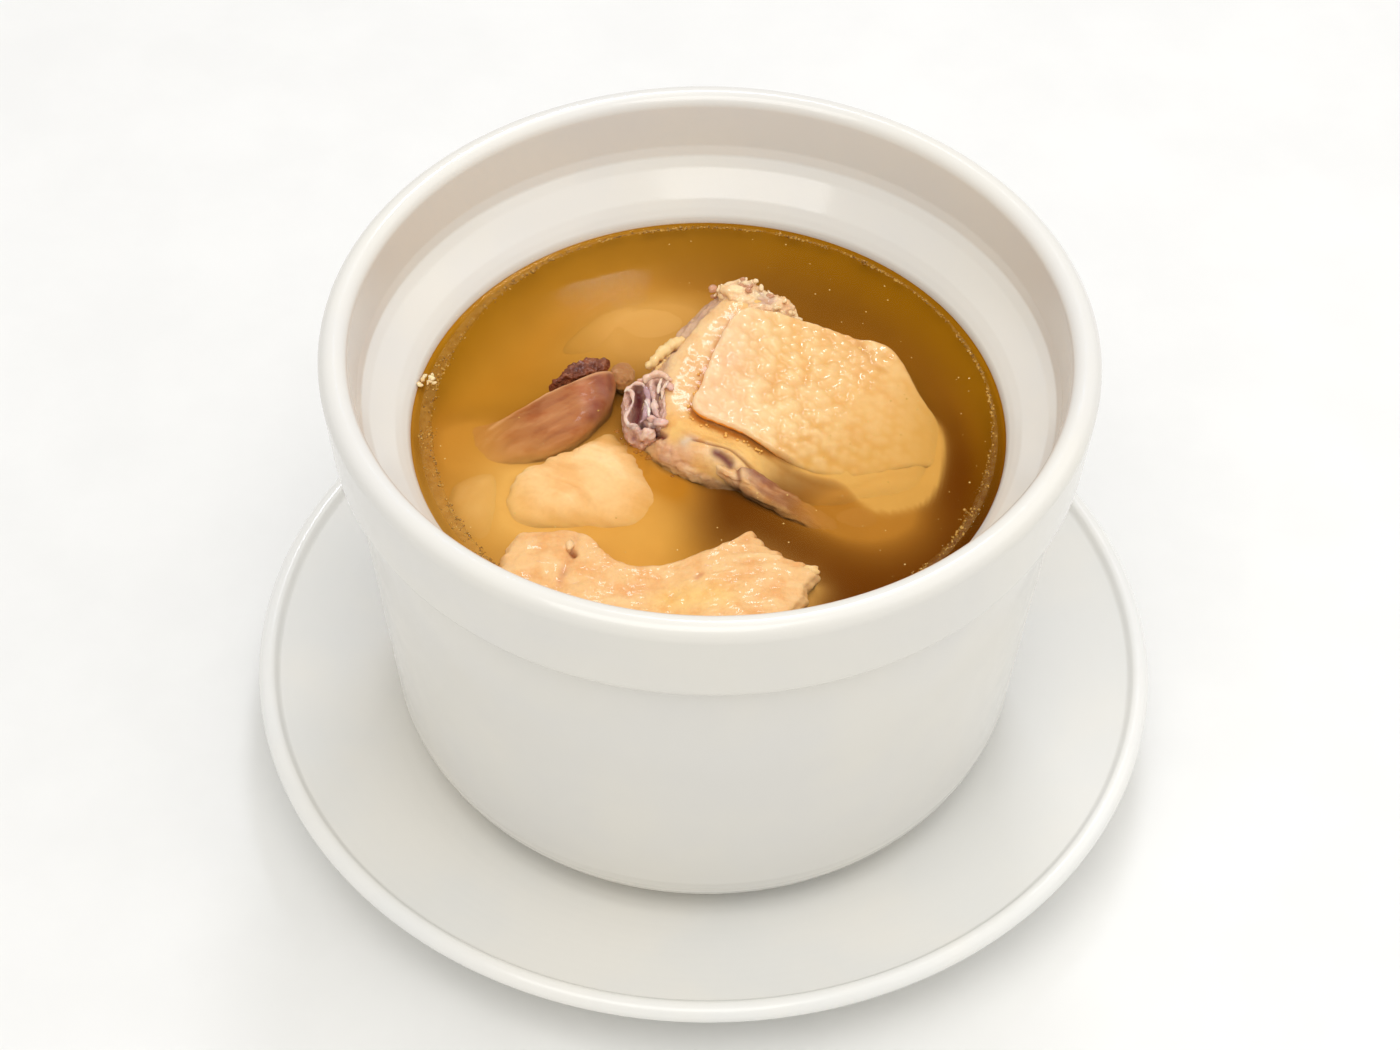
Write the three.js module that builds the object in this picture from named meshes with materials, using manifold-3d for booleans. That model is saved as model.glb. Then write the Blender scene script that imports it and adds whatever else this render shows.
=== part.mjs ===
// A bowl of chicken soup: a thick white porcelain steaming pot on its saucer, filled with clear
// broth, with pieces of chicken on the bone that break the surface.
// Millimetres, +Z up, front towards -Y. The origin is the centre of the saucer's foot.

import * as THREE from "three";
import { mergeVertices } from "three/addons/utils/BufferGeometryUtils.js";
import Module from "manifold-3d";

const wasm = await Module();
wasm.setup();

// ---------------------------------------------------------------- driving dimensions

const TURN_STEPS = 48; // steps round the pot and the saucer
const GAP = 0.3; // clearance between pieces that touch

const SAUCER = {
  footInnerR: 43.5,
  footOuterR: 48,
  footHeight: 2.6,
  wellR: 50, // flat part that the pot stands on
  wellZ: 7,
  edgeR: 84.9, // widest radius
  edgeZ: 17.1, // height of the widest radius
  lipR: 1.9, // half the thickness of the rounded edge
  wall: 4,
  riseShape: 1.6, // how late the dish turns up towards its edge
};

const POT = {
  footInnerR: 40.5,
  footOuterR: 44,
  footHeight: 1.2,
  cornerR: 15.6, // outside, between the base and the wall
  lowerR: 58.65, // outside radius just above the corner
  upperR: 63.7, // outside radius just under the collar
  collarZ: 82.6, // underside of the collar
  collarR: 66.4,
  collarRound: 1.8,
  rimR: 67.5, // widest radius, at the lip
  rimZ: 98,
  lipR: 2.6,
  seatTopR: 61.2, // the lid seat is the slope from here
  seatTopZ: 88,
  seatLowR: 54.8, // down to here
  seatLowZ: 81.7,
  innerR: 52.7, // inside wall at the broth
  innerLowR: 51.2, // inside wall above its bottom corner
  innerCornerR: 14,
  floorZ: 13.5,
};
const POT_Z = SAUCER.wellZ + GAP; // underside of the pot's foot

const BROTH_Z = 78.7; // the level of the broth

// ---------------------------------------------------------------- colours and finish

const finish = (color, roughness) =>
  new THREE.MeshStandardMaterial({ color, roughness, metalness: 0 });

const PORCELAIN = finish("#efece4", 0.16);
const BROTH = finish("#a9741f", 0.08);
const SKIN = finish("#f3cd8c", 0.35);
const PALE_MEAT = finish("#eec48a", 0.5);
const DARK_MEAT = finish("#a2683f", 0.45);
const BONE = finish("#e2c08c", 0.5);
const MARROW = finish("#6e3f3b", 0.5);
const CARTILAGE = finish("#dcbb9e", 0.35);

// ---------------------------------------------------------------- geometry helpers

// Points on an arc of a profile, from one angle to another in degrees.
function arc(centreR, centreZ, radius, fromDeg, toDeg, steps) {
  const points = [];
  for (let i = 0; i <= steps; i++) {
    const angle = THREE.MathUtils.degToRad(fromDeg + ((toDeg - fromDeg) * i) / steps);
    points.push([centreR + radius * Math.cos(angle), centreZ + radius * Math.sin(angle)]);
  }
  return points;
}

// A profile of [radius, height] points turned about the Z axis.
function turned(profile) {
  const points = profile.map(([r, z]) => new THREE.Vector2(Math.max(r, 0), z));
  return new THREE.LatheGeometry(points, TURN_STEPS).rotateX(Math.PI / 2);
}

// A geometry as one closed solid that can be joined and cut.
function solidOf(geometry) {
  const bare = geometry.clone();
  bare.deleteAttribute("normal");
  bare.deleteAttribute("uv");
  const merged = mergeVertices(bare, 1e-3);
  const solid = new wasm.Manifold(
    new wasm.Mesh({
      numProp: 3,
      vertProperties: merged.attributes.position.array,
      triVerts: new Uint32Array(merged.index.array),
    }),
  );
  return solid;
}

// The largest body of a solid as a geometry: what a cut leaves loose is dropped.
function geometryOf(solid) {
  const bodies = solid.decompose().sort((a, b) => b.volume() - a.volume());
  const mesh = bodies[0].getMesh();
  return new THREE.BufferGeometry()
    .setAttribute("position", new THREE.BufferAttribute(mesh.vertProperties, 3))
    .setIndex(new THREE.BufferAttribute(mesh.triVerts, 1));
}

// The same shape swollen by a distance along its normals, to cut a clearance round it.
function swollen(geometry, distance) {
  const bare = geometry.clone();
  bare.deleteAttribute("normal");
  bare.deleteAttribute("uv");
  const shape = mergeVertices(bare, 1e-3);
  shape.computeVertexNormals();
  const { position, normal } = shape.attributes;
  for (let i = 0; i < position.count; i++) {
    position.setXYZ(
      i,
      position.getX(i) + distance * normal.getX(i),
      position.getY(i) + distance * normal.getY(i),
      position.getZ(i) + distance * normal.getZ(i),
    );
  }
  return shape;
}

// A shape with clearance cut round each of its neighbours.
function cutRound(geometry, neighbours) {
  return neighbours.reduce(
    (solid, other) => solid.subtract(solidOf(swollen(other, GAP + 0.05))),
    solidOf(geometry),
  );
}

// A lump of food. Its plan is a smooth closed outline through the corners, given anticlockwise.
// Each ring is that outline drawn in towards the centre by a share, at a height that may follow
// x and y. Rings run from the middle of the top, out over the edge, to the middle of the bottom.
function lump({ centre, corners, steps, rings }) {
  const outline = new THREE.CatmullRomCurve3(
    corners.map(([x, y]) => new THREE.Vector3(x, y, 0)),
    true,
    "centripetal",
  ).getSpacedPoints(steps);
  outline.pop();
  const [cx, cy] = centre;
  const positions = [];
  const addPoint = (x, y, height) => positions.push(x, y, height(x, y));
  addPoint(cx, cy, rings[0].z);
  for (const { share, z } of rings) {
    for (const p of outline) addPoint(cx + share * (p.x - cx), cy + share * (p.y - cy), z);
  }
  addPoint(cx, cy, rings.at(-1).z);
  const last = positions.length / 3 - 1;
  const index = [];
  for (let i = 0; i < steps; i++) {
    const next = (i + 1) % steps;
    index.push(0, 1 + i, 1 + next);
    for (let ring = 0; ring < rings.length - 1; ring++) {
      const a = 1 + ring * steps;
      const b = a + steps;
      index.push(a + i, b + i, b + next, a + i, b + next, a + next);
    }
    index.push(last, last - steps + next, last - steps + i);
  }
  return new THREE.BufferGeometry()
    .setAttribute("position", new THREE.Float32BufferAttribute(positions, 3))
    .setIndex(index);
}

// A ring of a lump at a constant height.
const level = (share, z) => ({ share, z: () => z });

// Low crags of cooked meat, as a height over x and y.
const crags = (x, y, size) =>
  size * (Math.sin(0.55 * x + 1.3 * Math.sin(0.31 * y)) + Math.sin(0.47 * y + 0.9 * x + 2));

// A blunt splinter between two points, thicker at its root.
function splinter(root, tip, rootR, tipR) {
  const from = new THREE.Vector3(...root);
  const to = new THREE.Vector3(...tip);
  const along = new THREE.Vector3().subVectors(to, from);
  const turn = new THREE.Quaternion().setFromUnitVectors(
    new THREE.Vector3(0, 1, 0),
    along.clone().normalize(),
  );
  return new THREE.CylinderGeometry(tipR, rootR, along.length(), 10)
    .applyQuaternion(turn)
    .translate(...from.add(to).multiplyScalar(0.5).toArray());
}

// ---------------------------------------------------------------- porcelain

// The saucer's upper surface outside its well.
function dishHeight(r) {
  const top = SAUCER.edgeZ + 0.4;
  const share = (r - SAUCER.wellR) / (SAUCER.edgeR - 2 * SAUCER.lipR - SAUCER.wellR);
  return SAUCER.wellZ + (top - SAUCER.wellZ) * share ** SAUCER.riseShape;
}

function makeSaucer() {
  const { footInnerR, footOuterR, footHeight, wellR, wellZ, edgeR, edgeZ, lipR, wall } = SAUCER;
  const dishRadii = [0, 0.25, 0.5, 0.75, 0.95].map(
    (share) => wellR + share * (edgeR - 2 * lipR - wellR),
  );
  const under = dishRadii.slice(1).map((r) => [r + 1, dishHeight(r) - wall]);
  const over = dishRadii.toReversed().map((r) => [r, dishHeight(r)]);
  return turned([
    [0, footHeight],
    [footInnerR - 1, footHeight],
    [footInnerR, 0],
    [footOuterR, 0],
    [footOuterR + 1, footHeight],
    ...under,
    ...arc(edgeR - lipR, edgeZ, lipR, -50, 130, 7),
    ...over,
    [0, wellZ],
  ]);
}

// The inside of the pot from the level of the broth to the middle of its floor.
function potHollow(inset) {
  const { innerR, innerLowR, innerCornerR, floorZ } = POT;
  const corner = arc(innerLowR - innerCornerR, floorZ + innerCornerR, innerCornerR - inset, 0, -90, 5);
  return [[innerR - inset, BROTH_Z], ...corner, [0, floorZ + inset]];
}

function makePot() {
  const foot = POT_Z + POT.footHeight;
  const corner = arc(POT.lowerR - POT.cornerR, POT_Z + POT.cornerR, POT.cornerR, -82, 0, 6);
  const collar = arc(
    POT.collarR - POT.collarRound,
    POT.collarZ + POT.collarRound,
    POT.collarRound,
    -90,
    0,
    3,
  );
  return turned([
    [0, foot],
    [POT.footInnerR - 1, foot],
    [POT.footInnerR, POT_Z],
    [POT.footOuterR, POT_Z],
    ...corner,
    [POT.upperR, POT.collarZ - 0.6],
    ...collar,
    ...arc(POT.rimR - POT.lipR, POT.rimZ, POT.lipR, 0, 180, 8),
    [POT.seatTopR + 0.2, POT.seatTopZ + 2],
    [POT.seatTopR - 0.4, POT.seatTopZ],
    [POT.seatTopR - 1.8, POT.seatTopZ - 1.7],
    [POT.seatLowR + 0.4, POT.seatLowZ + 0.6],
    [POT.seatLowR - 0.8, POT.seatLowZ - 0.8],
    [POT.seatLowR - 1.7, POT.seatLowZ - 2],
    ...potHollow(0),
  ]);
}

// ---------------------------------------------------------------- food
// Heights here are above the broth: the food's group stands at the broth's level.

function makeBroth() {
  const profile = potHollow(GAP).map(([r, z]) => [r, z - BROTH_Z]);
  return turned([[0, 0], ...profile].toReversed());
}

// The chop of thigh: skin on top, a shelf of fat round it, cut meat and bone on its two near sides.
// Its left edge stands proud of the broth and its right end dips under.
const CHOP = {
  centre: [16, 6],
  edgeHeight: 5, // skin at its left edge
  dip: 8, // how far it sinks to the right
  dipLength: 24,
  backLift: 0.09, // rise towards the back
  rightRollX: 31, // the skin rolls down beyond here
  nearRollY: -4,
  roll: 0.035,
  skin: 1.5, // thickness
  shelf: 1.9, // from the skin's top to the shelf of fat
  ridge: { height: 2.4, x: -1, y: -9, length: 9, width: 4 }, // swell of the near cut side
  depth: 24, // from the broth down to its underside
};
const SKIN_CORNERS = [
  [-2.8, -0.4],
  [5.7, -3.3],
  [14.6, -8],
  [24.7, -9.9],
  [37.4, -5.6],
  [42, -3],
  [42, 5.5],
  [37.8, 11.1],
  [32.6, 19.6],
  [26.2, 21],
  [10.3, 23.8],
  [5.5, 22.6],
  [2.5, 17.7],
  [-1.5, 5.5],
];
const CHOP_CORNERS = [
  [-10.5, -3.5],
  [-4, -9.5],
  [6, -13],
  [20, -19],
  [30, -16.5],
  [40, -13.5],
  [43.4, -4],
  [43.2, 5.8],
  [38.5, 12.4],
  [33.2, 20.4],
  [26, 22],
  [15.4, 25.2],
  [12.4, 29.4],
  [4.4, 31.6],
  [-1.8, 22.6],
  [-8.6, 12],
  [-11.5, 5],
];

// The chop's sloping back, from its raised left edge down to the right.
function chopHeight(x, y) {
  const fromEdge = Math.max(0, 0.95 * (x + 2.8) - 0.313 * (y + 1.4));
  const dip = CHOP.dip * (1 - Math.exp(-fromEdge / CHOP.dipLength));
  const roll = CHOP.roll * Math.max(0, x - CHOP.rightRollX) ** 2;
  return CHOP.edgeHeight - dip - roll + CHOP.backLift * (y - 8);
}

function skinHeight(x, y) {
  const nearRoll = CHOP.roll * Math.max(0, CHOP.nearRollY - y) ** 2 * Math.min(1, Math.max(0, x / 20));
  return chopHeight(x, y) - nearRoll;
}

function makeSkin() {
  const under = (inset) => (x, y) => skinHeight(x, y) - inset;
  return lump({
    centre: CHOP.centre,
    corners: SKIN_CORNERS,
    steps: 38,
    rings: [
      { share: 0.4, z: under(-0.15) },
      { share: 0.75, z: under(-0.1) },
      { share: 0.97, z: under(0) },
      { share: 1, z: under(0.4) },
      { share: 1, z: under(CHOP.skin - 0.3) },
      { share: 0.97, z: under(CHOP.skin) },
      { share: 0.5, z: under(CHOP.skin) },
    ],
  });
}

function fatHeight(x, y) {
  const { ridge } = CHOP;
  const across = ((x - ridge.x) / ridge.length) ** 2 + ((y - ridge.y) / ridge.width) ** 2;
  return skinHeight(x, y) - CHOP.shelf + ridge.height * Math.exp(-across) + crags(x, y, 0.12);
}

function makeChopMeat() {
  const fat = (drop) => (x, y) => fatHeight(x, y) - drop;
  return lump({
    centre: CHOP.centre,
    corners: CHOP_CORNERS,
    steps: 44,
    rings: [
      { share: 0.45, z: fat(0) },
      { share: 0.8, z: fat(0) },
      { share: 0.88, z: fat(0.2) },
      { share: 0.95, z: fat(1.2) },
      { share: 1, z: fat(3) },
      { share: 1, z: fat(6) },
      level(0.93, -CHOP.depth + 5),
      level(0.78, -CHOP.depth + 1),
      level(0.4, -CHOP.depth),
    ],
  });
}

// The knuckle of backbone at the chop's near corner, curled round its marrow.
function makeKnuckle() {
  const top = (drop) => (x, y) => 2.6 - drop + 0.1 * (x + 12) + crags(2.3 * x, 2.3 * y, 0.25);
  return lump({
    centre: [-11.6, 2.6],
    corners: [
      [-14.8, 6.8],
      [-15.3, 2],
      [-14, -1.8],
      [-9.6, -2],
      [-8, 2.5],
      [-8.6, 7.4],
    ],
    steps: 20,
    rings: [
      { share: 0.4, z: top(0.9) },
      { share: 0.72, z: top(0) },
      { share: 0.95, z: top(0.7) },
      level(1, -0.8),
      level(0.8, -4.6),
    ],
  });
}

// The rib that shows along the chop's near cut side and runs down into the broth.
function makeRib() {
  const top = (drop) => (x) => 1.5 - 0.27 * (x - 4) - drop;
  return lump({
    centre: [12, -16.2],
    corners: [
      [0.5, -10.6],
      [4.6, -13.6],
      [11, -17.6],
      [19.5, -22.2],
      [24, -22.8],
      [22.5, -19.4],
      [13, -13.2],
      [6, -9.6],
      [2, -8.6],
    ],
    steps: 26,
    rings: [
      { share: 0.5, z: top(0) },
      { share: 0.85, z: top(0.35) },
      { share: 1, z: top(1.5) },
      { share: 0.9, z: top(3.4) },
      { share: 0.5, z: top(4.4) },
    ],
  });
}

// The gristle at the far corner of the chop.
function makeGristle() {
  const top = (drop) => (x, y) => 4.9 - drop - 0.16 * (x - 7) + crags(1.8 * x, 1.8 * y, 0.2);
  return lump({
    centre: [8.2, 28],
    corners: [
      [1.4, 28.6],
      [5, 26.4],
      [10, 25.8],
      [15, 25.9],
      [15.6, 27.8],
      [11.4, 29.6],
      [8.8, 32],
      [3.6, 31.4],
    ],
    steps: 22,
    rings: [
      { share: 0.5, z: top(0) },
      { share: 0.88, z: top(0.4) },
      { share: 1, z: top(1.5) },
      { share: 0.9, z: top(4.2) },
      { share: 0.5, z: top(5) },
    ],
  });
}

// The piece of dark meat at the left: a rounded muscle that sinks towards the pot's wall.
function makeDarkMeat() {
  const back = (drop) => (x, y) =>
    1.5 - 5.2 * (Math.max(0, -20 - x) / 27) ** 1.6 - drop + crags(x, y, 0.1);
  return lump({
    centre: [-31, 2],
    corners: [
      [-19.4, 1.6],
      [-17, 6],
      [-17.3, 13],
      [-22.6, 10.8],
      [-30, 7],
      [-39, 1.8],
      [-46, 0.2],
      [-47.6, -3.6],
      [-45, -6.6],
      [-39, -8.4],
      [-33, -7.8],
      [-26.3, -5.9],
      [-22, -2.4],
    ],
    steps: 30,
    rings: [
      { share: 0.45, z: back(0) },
      { share: 0.75, z: back(0.3) },
      { share: 0.93, z: back(0.9) },
      { share: 1, z: back(2.4) },
      { share: 0.94, z: back(7) },
      { share: 0.55, z: back(10) },
    ],
  });
}

// The dark grainy marrow that stands behind the dark meat's end.
function makeMarrow() {
  const top = (drop) => (x, y) => 1.3 - drop + crags(2.6 * x, 2.6 * y, 0.22);
  return lump({
    centre: [-23, 12.4],
    corners: [
      [-28.6, 8.8],
      [-23, 11],
      [-18.8, 13.2],
      [-18, 15.4],
      [-21.2, 15.8],
      [-25.2, 13.4],
    ],
    steps: 20,
    rings: [
      { share: 0.5, z: top(0) },
      { share: 0.9, z: top(0.5) },
      { share: 1, z: top(1.6) },
      { share: 0.8, z: top(4) },
    ],
  });
}

// The pale knob of cartilage on the dark meat's end.
function makeKnob() {
  const top = (drop) => () => 0.8 - drop;
  return lump({
    centre: [-15.6, 12.6],
    corners: [
      [-17.8, 14.4],
      [-17.4, 11],
      [-15.4, 9.8],
      [-13.6, 12],
      [-14.2, 15],
      [-16.2, 15.6],
    ],
    steps: 16,
    rings: [
      { share: 0.5, z: top(0) },
      { share: 0.9, z: top(0.6) },
      { share: 1, z: top(1.8) },
      { share: 0.7, z: top(4) },
    ],
  });
}

// The pale piece in the middle: its back just breaks the surface and its near side slopes away.
function makeMiddleMeat() {
  const back = (drop) => (x, y) =>
    0.8 - 0.005 * ((x + 27) ** 2 + 1.4 * (y + 10) ** 2) - drop + crags(x, y, 0.08);
  return lump({
    centre: [-23, -12],
    corners: [
      [-35.6, -12],
      [-34.8, -21.6],
      [-25.6, -22.6],
      [-11, -21.6],
      [-6.8, -14],
      [-9, -8],
      [-12.4, -2.4],
      [-16.8, 2.6],
      [-24.2, -4.2],
      [-31, -8.4],
    ],
    steps: 28,
    rings: [
      { share: 0.5, z: back(0) },
      { share: 0.88, z: back(0.4) },
      { share: 1, z: back(2.4) },
      { share: 0.9, z: back(7) },
      { share: 0.5, z: back(9) },
    ],
  });
}

// The front piece: two humps with a notch between, and a crease at its left third.
const CREASE_X = -22.6;
function makeFrontMeat() {
  const back = (drop) => (x, y) => {
    const crease = 0.9 * Math.exp(-(((x - CREASE_X) / 0.9) ** 2));
    const dish = 0.9 * Math.exp(-(((x + 9) / 7) ** 2));
    return 2.4 - dish - crease - 0.02 * Math.max(0, x) ** 1.4 - drop + crags(x, y, 0.12);
  };
  return lump({
    centre: [-8, -42.5],
    corners: [
      [-35, -36.4],
      [-30, -41.8],
      [-20, -47.6],
      [-8, -50.4],
      [6, -50],
      [14, -46],
      [17.4, -39],
      [18.6, -34.6],
      [14.4, -32.2],
      [10.4, -29.8],
      [6.9, -27.9],
      [2, -30.2],
      [-5, -33.2],
      [-12, -34.6],
      [-17.6, -32],
      [-20.8, -28],
      [-27.7, -27.4],
      [-32.2, -28.4],
    ],
    steps: 46,
    rings: [
      { share: 0.5, z: back(0) },
      { share: 0.86, z: back(0.1) },
      { share: 0.96, z: back(0.6) },
      { share: 1, z: back(2.2) },
      { share: 0.93, z: back(8) },
      { share: 0.5, z: back(11) },
    ],
  });
}

// ---------------------------------------------------------------- the group

function mesh(name, geometry, material, parent) {
  const piece = new THREE.Mesh(geometry, material);
  piece.name = name;
  parent.add(piece);
  return piece;
}

const bowl = new THREE.Group();
mesh("saucer", makeSaucer(), PORCELAIN, bowl);
mesh("pot", makePot(), PORCELAIN, bowl);

const contents = new THREE.Group();
contents.position.z = BROTH_Z;
bowl.add(contents);

const knuckle = makeKnuckle();
const rib = makeRib();
const gristle = makeGristle();
const stub = splinter([-4.6, 17, 1.8], [-11.2, 12.2, 1.2], 1.5, 1);
const skin = makeSkin();
const chop = makeChopMeat();
const marrow = makeMarrow();
const knob = makeKnob();
const darkMeat = makeDarkMeat();
const middleMeat = makeMiddleMeat();
const frontMeat = makeFrontMeat();

// Softer pieces give way to the harder ones that they touch, and the broth to all of them.
const standing = [skin, knuckle, rib, gristle, stub, marrow, knob, chop, darkMeat, frontMeat, middleMeat];
const clear = (piece) => geometryOf(cutRound(piece, standing.slice(0, standing.indexOf(piece))));

mesh("thigh_skin", skin, SKIN, contents);
mesh("thigh_meat", clear(chop), PALE_MEAT, contents);
mesh("thigh_knuckle", clear(knuckle), CARTILAGE, contents);
mesh("thigh_rib", clear(rib), MARROW, contents);
mesh("thigh_gristle", clear(gristle), CARTILAGE, contents);
mesh("thigh_splinter", clear(stub), BONE, contents);
mesh("dark_meat", clear(darkMeat), DARK_MEAT, contents);
mesh("dark_meat_marrow", clear(marrow), MARROW, contents);
mesh("dark_meat_knob", clear(knob), CARTILAGE, contents);
mesh("middle_meat", clear(middleMeat), PALE_MEAT, contents);
mesh("front_meat", clear(frontMeat), PALE_MEAT, contents);
mesh("broth", geometryOf(cutRound(makeBroth(), standing)), BROTH, contents);

export default bowl;
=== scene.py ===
"""The looks of a bowl of chicken soup: a steaming pot on its saucer, clear broth and cut chicken.

Lengths are in millimetres here and become Blender's metres where a mesh is made. The pot's axis is
the Z axis. Food heights are given above the broth's level, which is read from the broth's part in model.glb.
"""

import logging
import math
from collections.abc import Iterable, Sequence
from dataclasses import dataclass
from enum import Enum

import bpy
import numpy as np
from mathutils import Matrix, Vector


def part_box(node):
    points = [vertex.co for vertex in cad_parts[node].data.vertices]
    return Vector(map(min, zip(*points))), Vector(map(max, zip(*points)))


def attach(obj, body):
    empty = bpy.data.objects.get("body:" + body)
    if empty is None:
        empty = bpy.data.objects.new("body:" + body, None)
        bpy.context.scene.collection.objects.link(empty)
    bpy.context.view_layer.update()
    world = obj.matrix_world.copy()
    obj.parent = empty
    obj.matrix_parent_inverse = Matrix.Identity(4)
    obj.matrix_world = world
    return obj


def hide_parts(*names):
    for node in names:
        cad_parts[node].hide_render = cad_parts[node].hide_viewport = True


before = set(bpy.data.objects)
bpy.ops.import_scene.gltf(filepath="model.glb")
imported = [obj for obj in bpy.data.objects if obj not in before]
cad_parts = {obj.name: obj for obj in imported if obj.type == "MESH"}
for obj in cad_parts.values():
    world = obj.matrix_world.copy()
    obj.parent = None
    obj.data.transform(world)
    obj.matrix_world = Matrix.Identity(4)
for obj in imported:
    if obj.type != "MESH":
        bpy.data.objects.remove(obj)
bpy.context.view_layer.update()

LOG = logging.getLogger("soup")
MM = 0.001
BODY = "root"
BROTH_Z = float(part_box("broth")[1][2]) / MM
SAUCER_R = float(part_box("saucer")[1][0]) / MM
POT_R = float(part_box("pot")[1][0]) / MM
POT_FOOT_Z = float(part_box("pot")[0][2]) / MM

Pair = tuple[float, float]
Triple = tuple[float, float, float]
Array = np.ndarray


class Slot(Enum):
    """Names of the material slots."""

    PORCELAIN = "porcelain"
    BROTH = "broth"
    SKIN = "skin"
    PALE_MEAT = "pale_meat"
    DARK_MEAT = "dark_meat"
    BONE = "bone"
    MARROW = "marrow"
    CARTILAGE = "cartilage"


def tone(red: float, green: float, blue: float) -> Triple:
    """A display colour, 0 to 255, as linear light."""
    return tuple(c / 3294.6 if c < 10.3 else ((c / 255 + 0.055) / 1.055) ** 2.4 for c in (red, green, blue))


def smooth_step(low: float, high: float, value: Array) -> Array:
    """0 below low, 1 above high and a smooth rise between them."""
    t = np.clip((value - low) / (high - low), 0, 1)
    return t * t * (3 - 2 * t)


# ------------------------------------------------------------------ forms


class Grain:
    """Smooth random values in space from a seeded lattice, the same on every run."""

    SIDE = 32

    def __init__(self, seed: int) -> None:
        """Fills the lattice.

        Args:
            seed: chooses the pattern.
        """
        self.lattice = np.random.default_rng(seed).random((self.SIDE,) * 3) * 2 - 1

    def at(self, points: Array) -> Array:
        """Values from -1 to 1.

        Args:
            points: N x 3 places, one lattice cell per unit.

        Returns:
            One value a point.
        """
        cell = np.floor(points).astype(int)
        part = points - cell
        part = part * part * (3 - 2 * part)
        total = np.zeros(len(points))
        for corner in np.ndindex(2, 2, 2):
            step = np.array(corner)
            weight = np.where(step, part, 1 - part).prod(axis=1)
            i, j, k = ((cell + step) % self.SIDE).T
            total += weight * self.lattice[i, j, k]
        return total

    def layered(self, points: Array, size: float | Triple, layers: int = 3) -> Array:
        """Several layers of the pattern, each half as large and as strong as the last.

        Args:
            points: N x 3 places in mm.
            size: width of the largest features in mm, or one for each axis.
            layers: how many.

        Returns:
            One value a point, mostly from -1 to 1.
        """
        scaled = points / np.asarray(size)
        return sum(self.at(scaled * 2**n + 11.7 * n) / 2**n for n in range(layers))


@dataclass
class Form:
    """A mesh in the making: points in mm, faces, and a colour for each point."""

    points: Array
    faces: list[tuple[int, ...]]
    tint: Array | None = None

    def __post_init__(self) -> None:
        """Gives each point a white tint where none is stated."""
        if self.tint is None:
            self.tint = np.ones((len(self.points), 3))

    def normals(self) -> Array:
        """Works out which way the surface faces at each point, from its faces.

        Returns:
            N x 3 unit vectors.
        """
        total = np.zeros_like(self.points)
        for size in (3, 4):
            faces = np.array([f for f in self.faces if len(f) == size], dtype=int)
            if not len(faces):
                continue
            corner = self.points[faces]
            across = np.cross(corner[:, 2] - corner[:, 0], corner[:, size - 1] - corner[:, 1])
            for column in range(size):
                np.add.at(total, faces[:, column], across)
        return total / np.maximum(np.linalg.norm(total, axis=1, keepdims=True), 1e-9)

    def push(self, distance: Array) -> None:
        """Moves each point along its normal by a distance in mm."""
        self.points = self.points + self.normals() * distance[:, None]

    def dab(self, share: Array, colour: Triple) -> None:
        """Mixes a colour into the tint by a share from 0 to 1 at each point."""
        self.tint += np.clip(share, 0, 1)[:, None] * (np.array(colour) - self.tint)

    def dyed(self, colour: Triple) -> "Form":
        """The form in one colour."""
        self.tint[:] = colour
        return self


def joined(forms: Iterable[Form]) -> Form:
    """Several forms as one, loose from each other.

    Args:
        forms: what to put together.

    Returns:
        The whole.
    """
    forms = list(forms)
    faces, start = [], 0
    for form in forms:
        faces += [tuple(i + start for i in face) for face in form.faces]
        start += len(form.points)
    points, tints = zip(*((form.points, form.tint) for form in forms))
    return Form(np.concatenate(points), faces, np.concatenate(tints))


def grid_faces(rings: int, steps: int, start: int = 0) -> list[tuple[int, ...]]:
    """Quads between rings of points, each closed on itself.

    Args:
        rings: how many rings.
        steps: points in a ring, anticlockwise seen from above where the rings run up.
        start: index of the first point.

    Returns:
        The faces.
    """
    faces = []
    for ring in range(rings - 1):
        a = start + ring * steps
        for i in range(steps):
            j = (i + 1) % steps
            faces.append((a + i, a + j, a + steps + j, a + steps + i))
    return faces


def capped(rings: Array, first: Triple, last: Triple) -> Form:
    """A closed form from rings of points between two end points.

    Args:
        rings: R x S x 3 points.
        first: the point that closes the first ring.
        last: the point that closes the last one.

    Returns:
        The form, facing out where the rings are anticlockwise about their way from first to last.
    """
    count, steps, _ = rings.shape
    points = np.concatenate([[first], rings.reshape(-1, 3), [last]])
    end = len(points) - 1
    faces = grid_faces(count, steps, 1)
    faces += [(0, 1 + (i + 1) % steps, 1 + i) for i in range(steps)]
    faces += [(end, end - steps + i, end - steps + (i + 1) % steps) for i in range(steps)]
    return Form(points, faces)


def rounded(profile: Sequence[Pair], corner: float, passes: int = 3) -> Array:
    """A bent line with its corners rounded off.

    Args:
        profile: points of the line.
        corner: how far from a corner its rounding starts, in the line's unit.
        passes: how often each corner is cut.

    Returns:
        M x 2 points, with the same ends.
    """
    line = [np.array(profile[0], dtype=float)]
    for a, b in zip(profile, profile[1:]):
        a, b = np.array(a, dtype=float), np.array(b, dtype=float)
        length = np.linalg.norm(b - a)
        if length > 2 * corner:
            line += [a + (b - a) * corner / length, b - (b - a) * corner / length]
        line.append(b)
    for _ in range(passes):
        cut = [line[0]]
        for a, b in zip(line, line[1:]):
            cut += [0.75 * a + 0.25 * b, 0.25 * a + 0.75 * b]
        line = cut + [line[-1]]
    return np.array(line)


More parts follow.
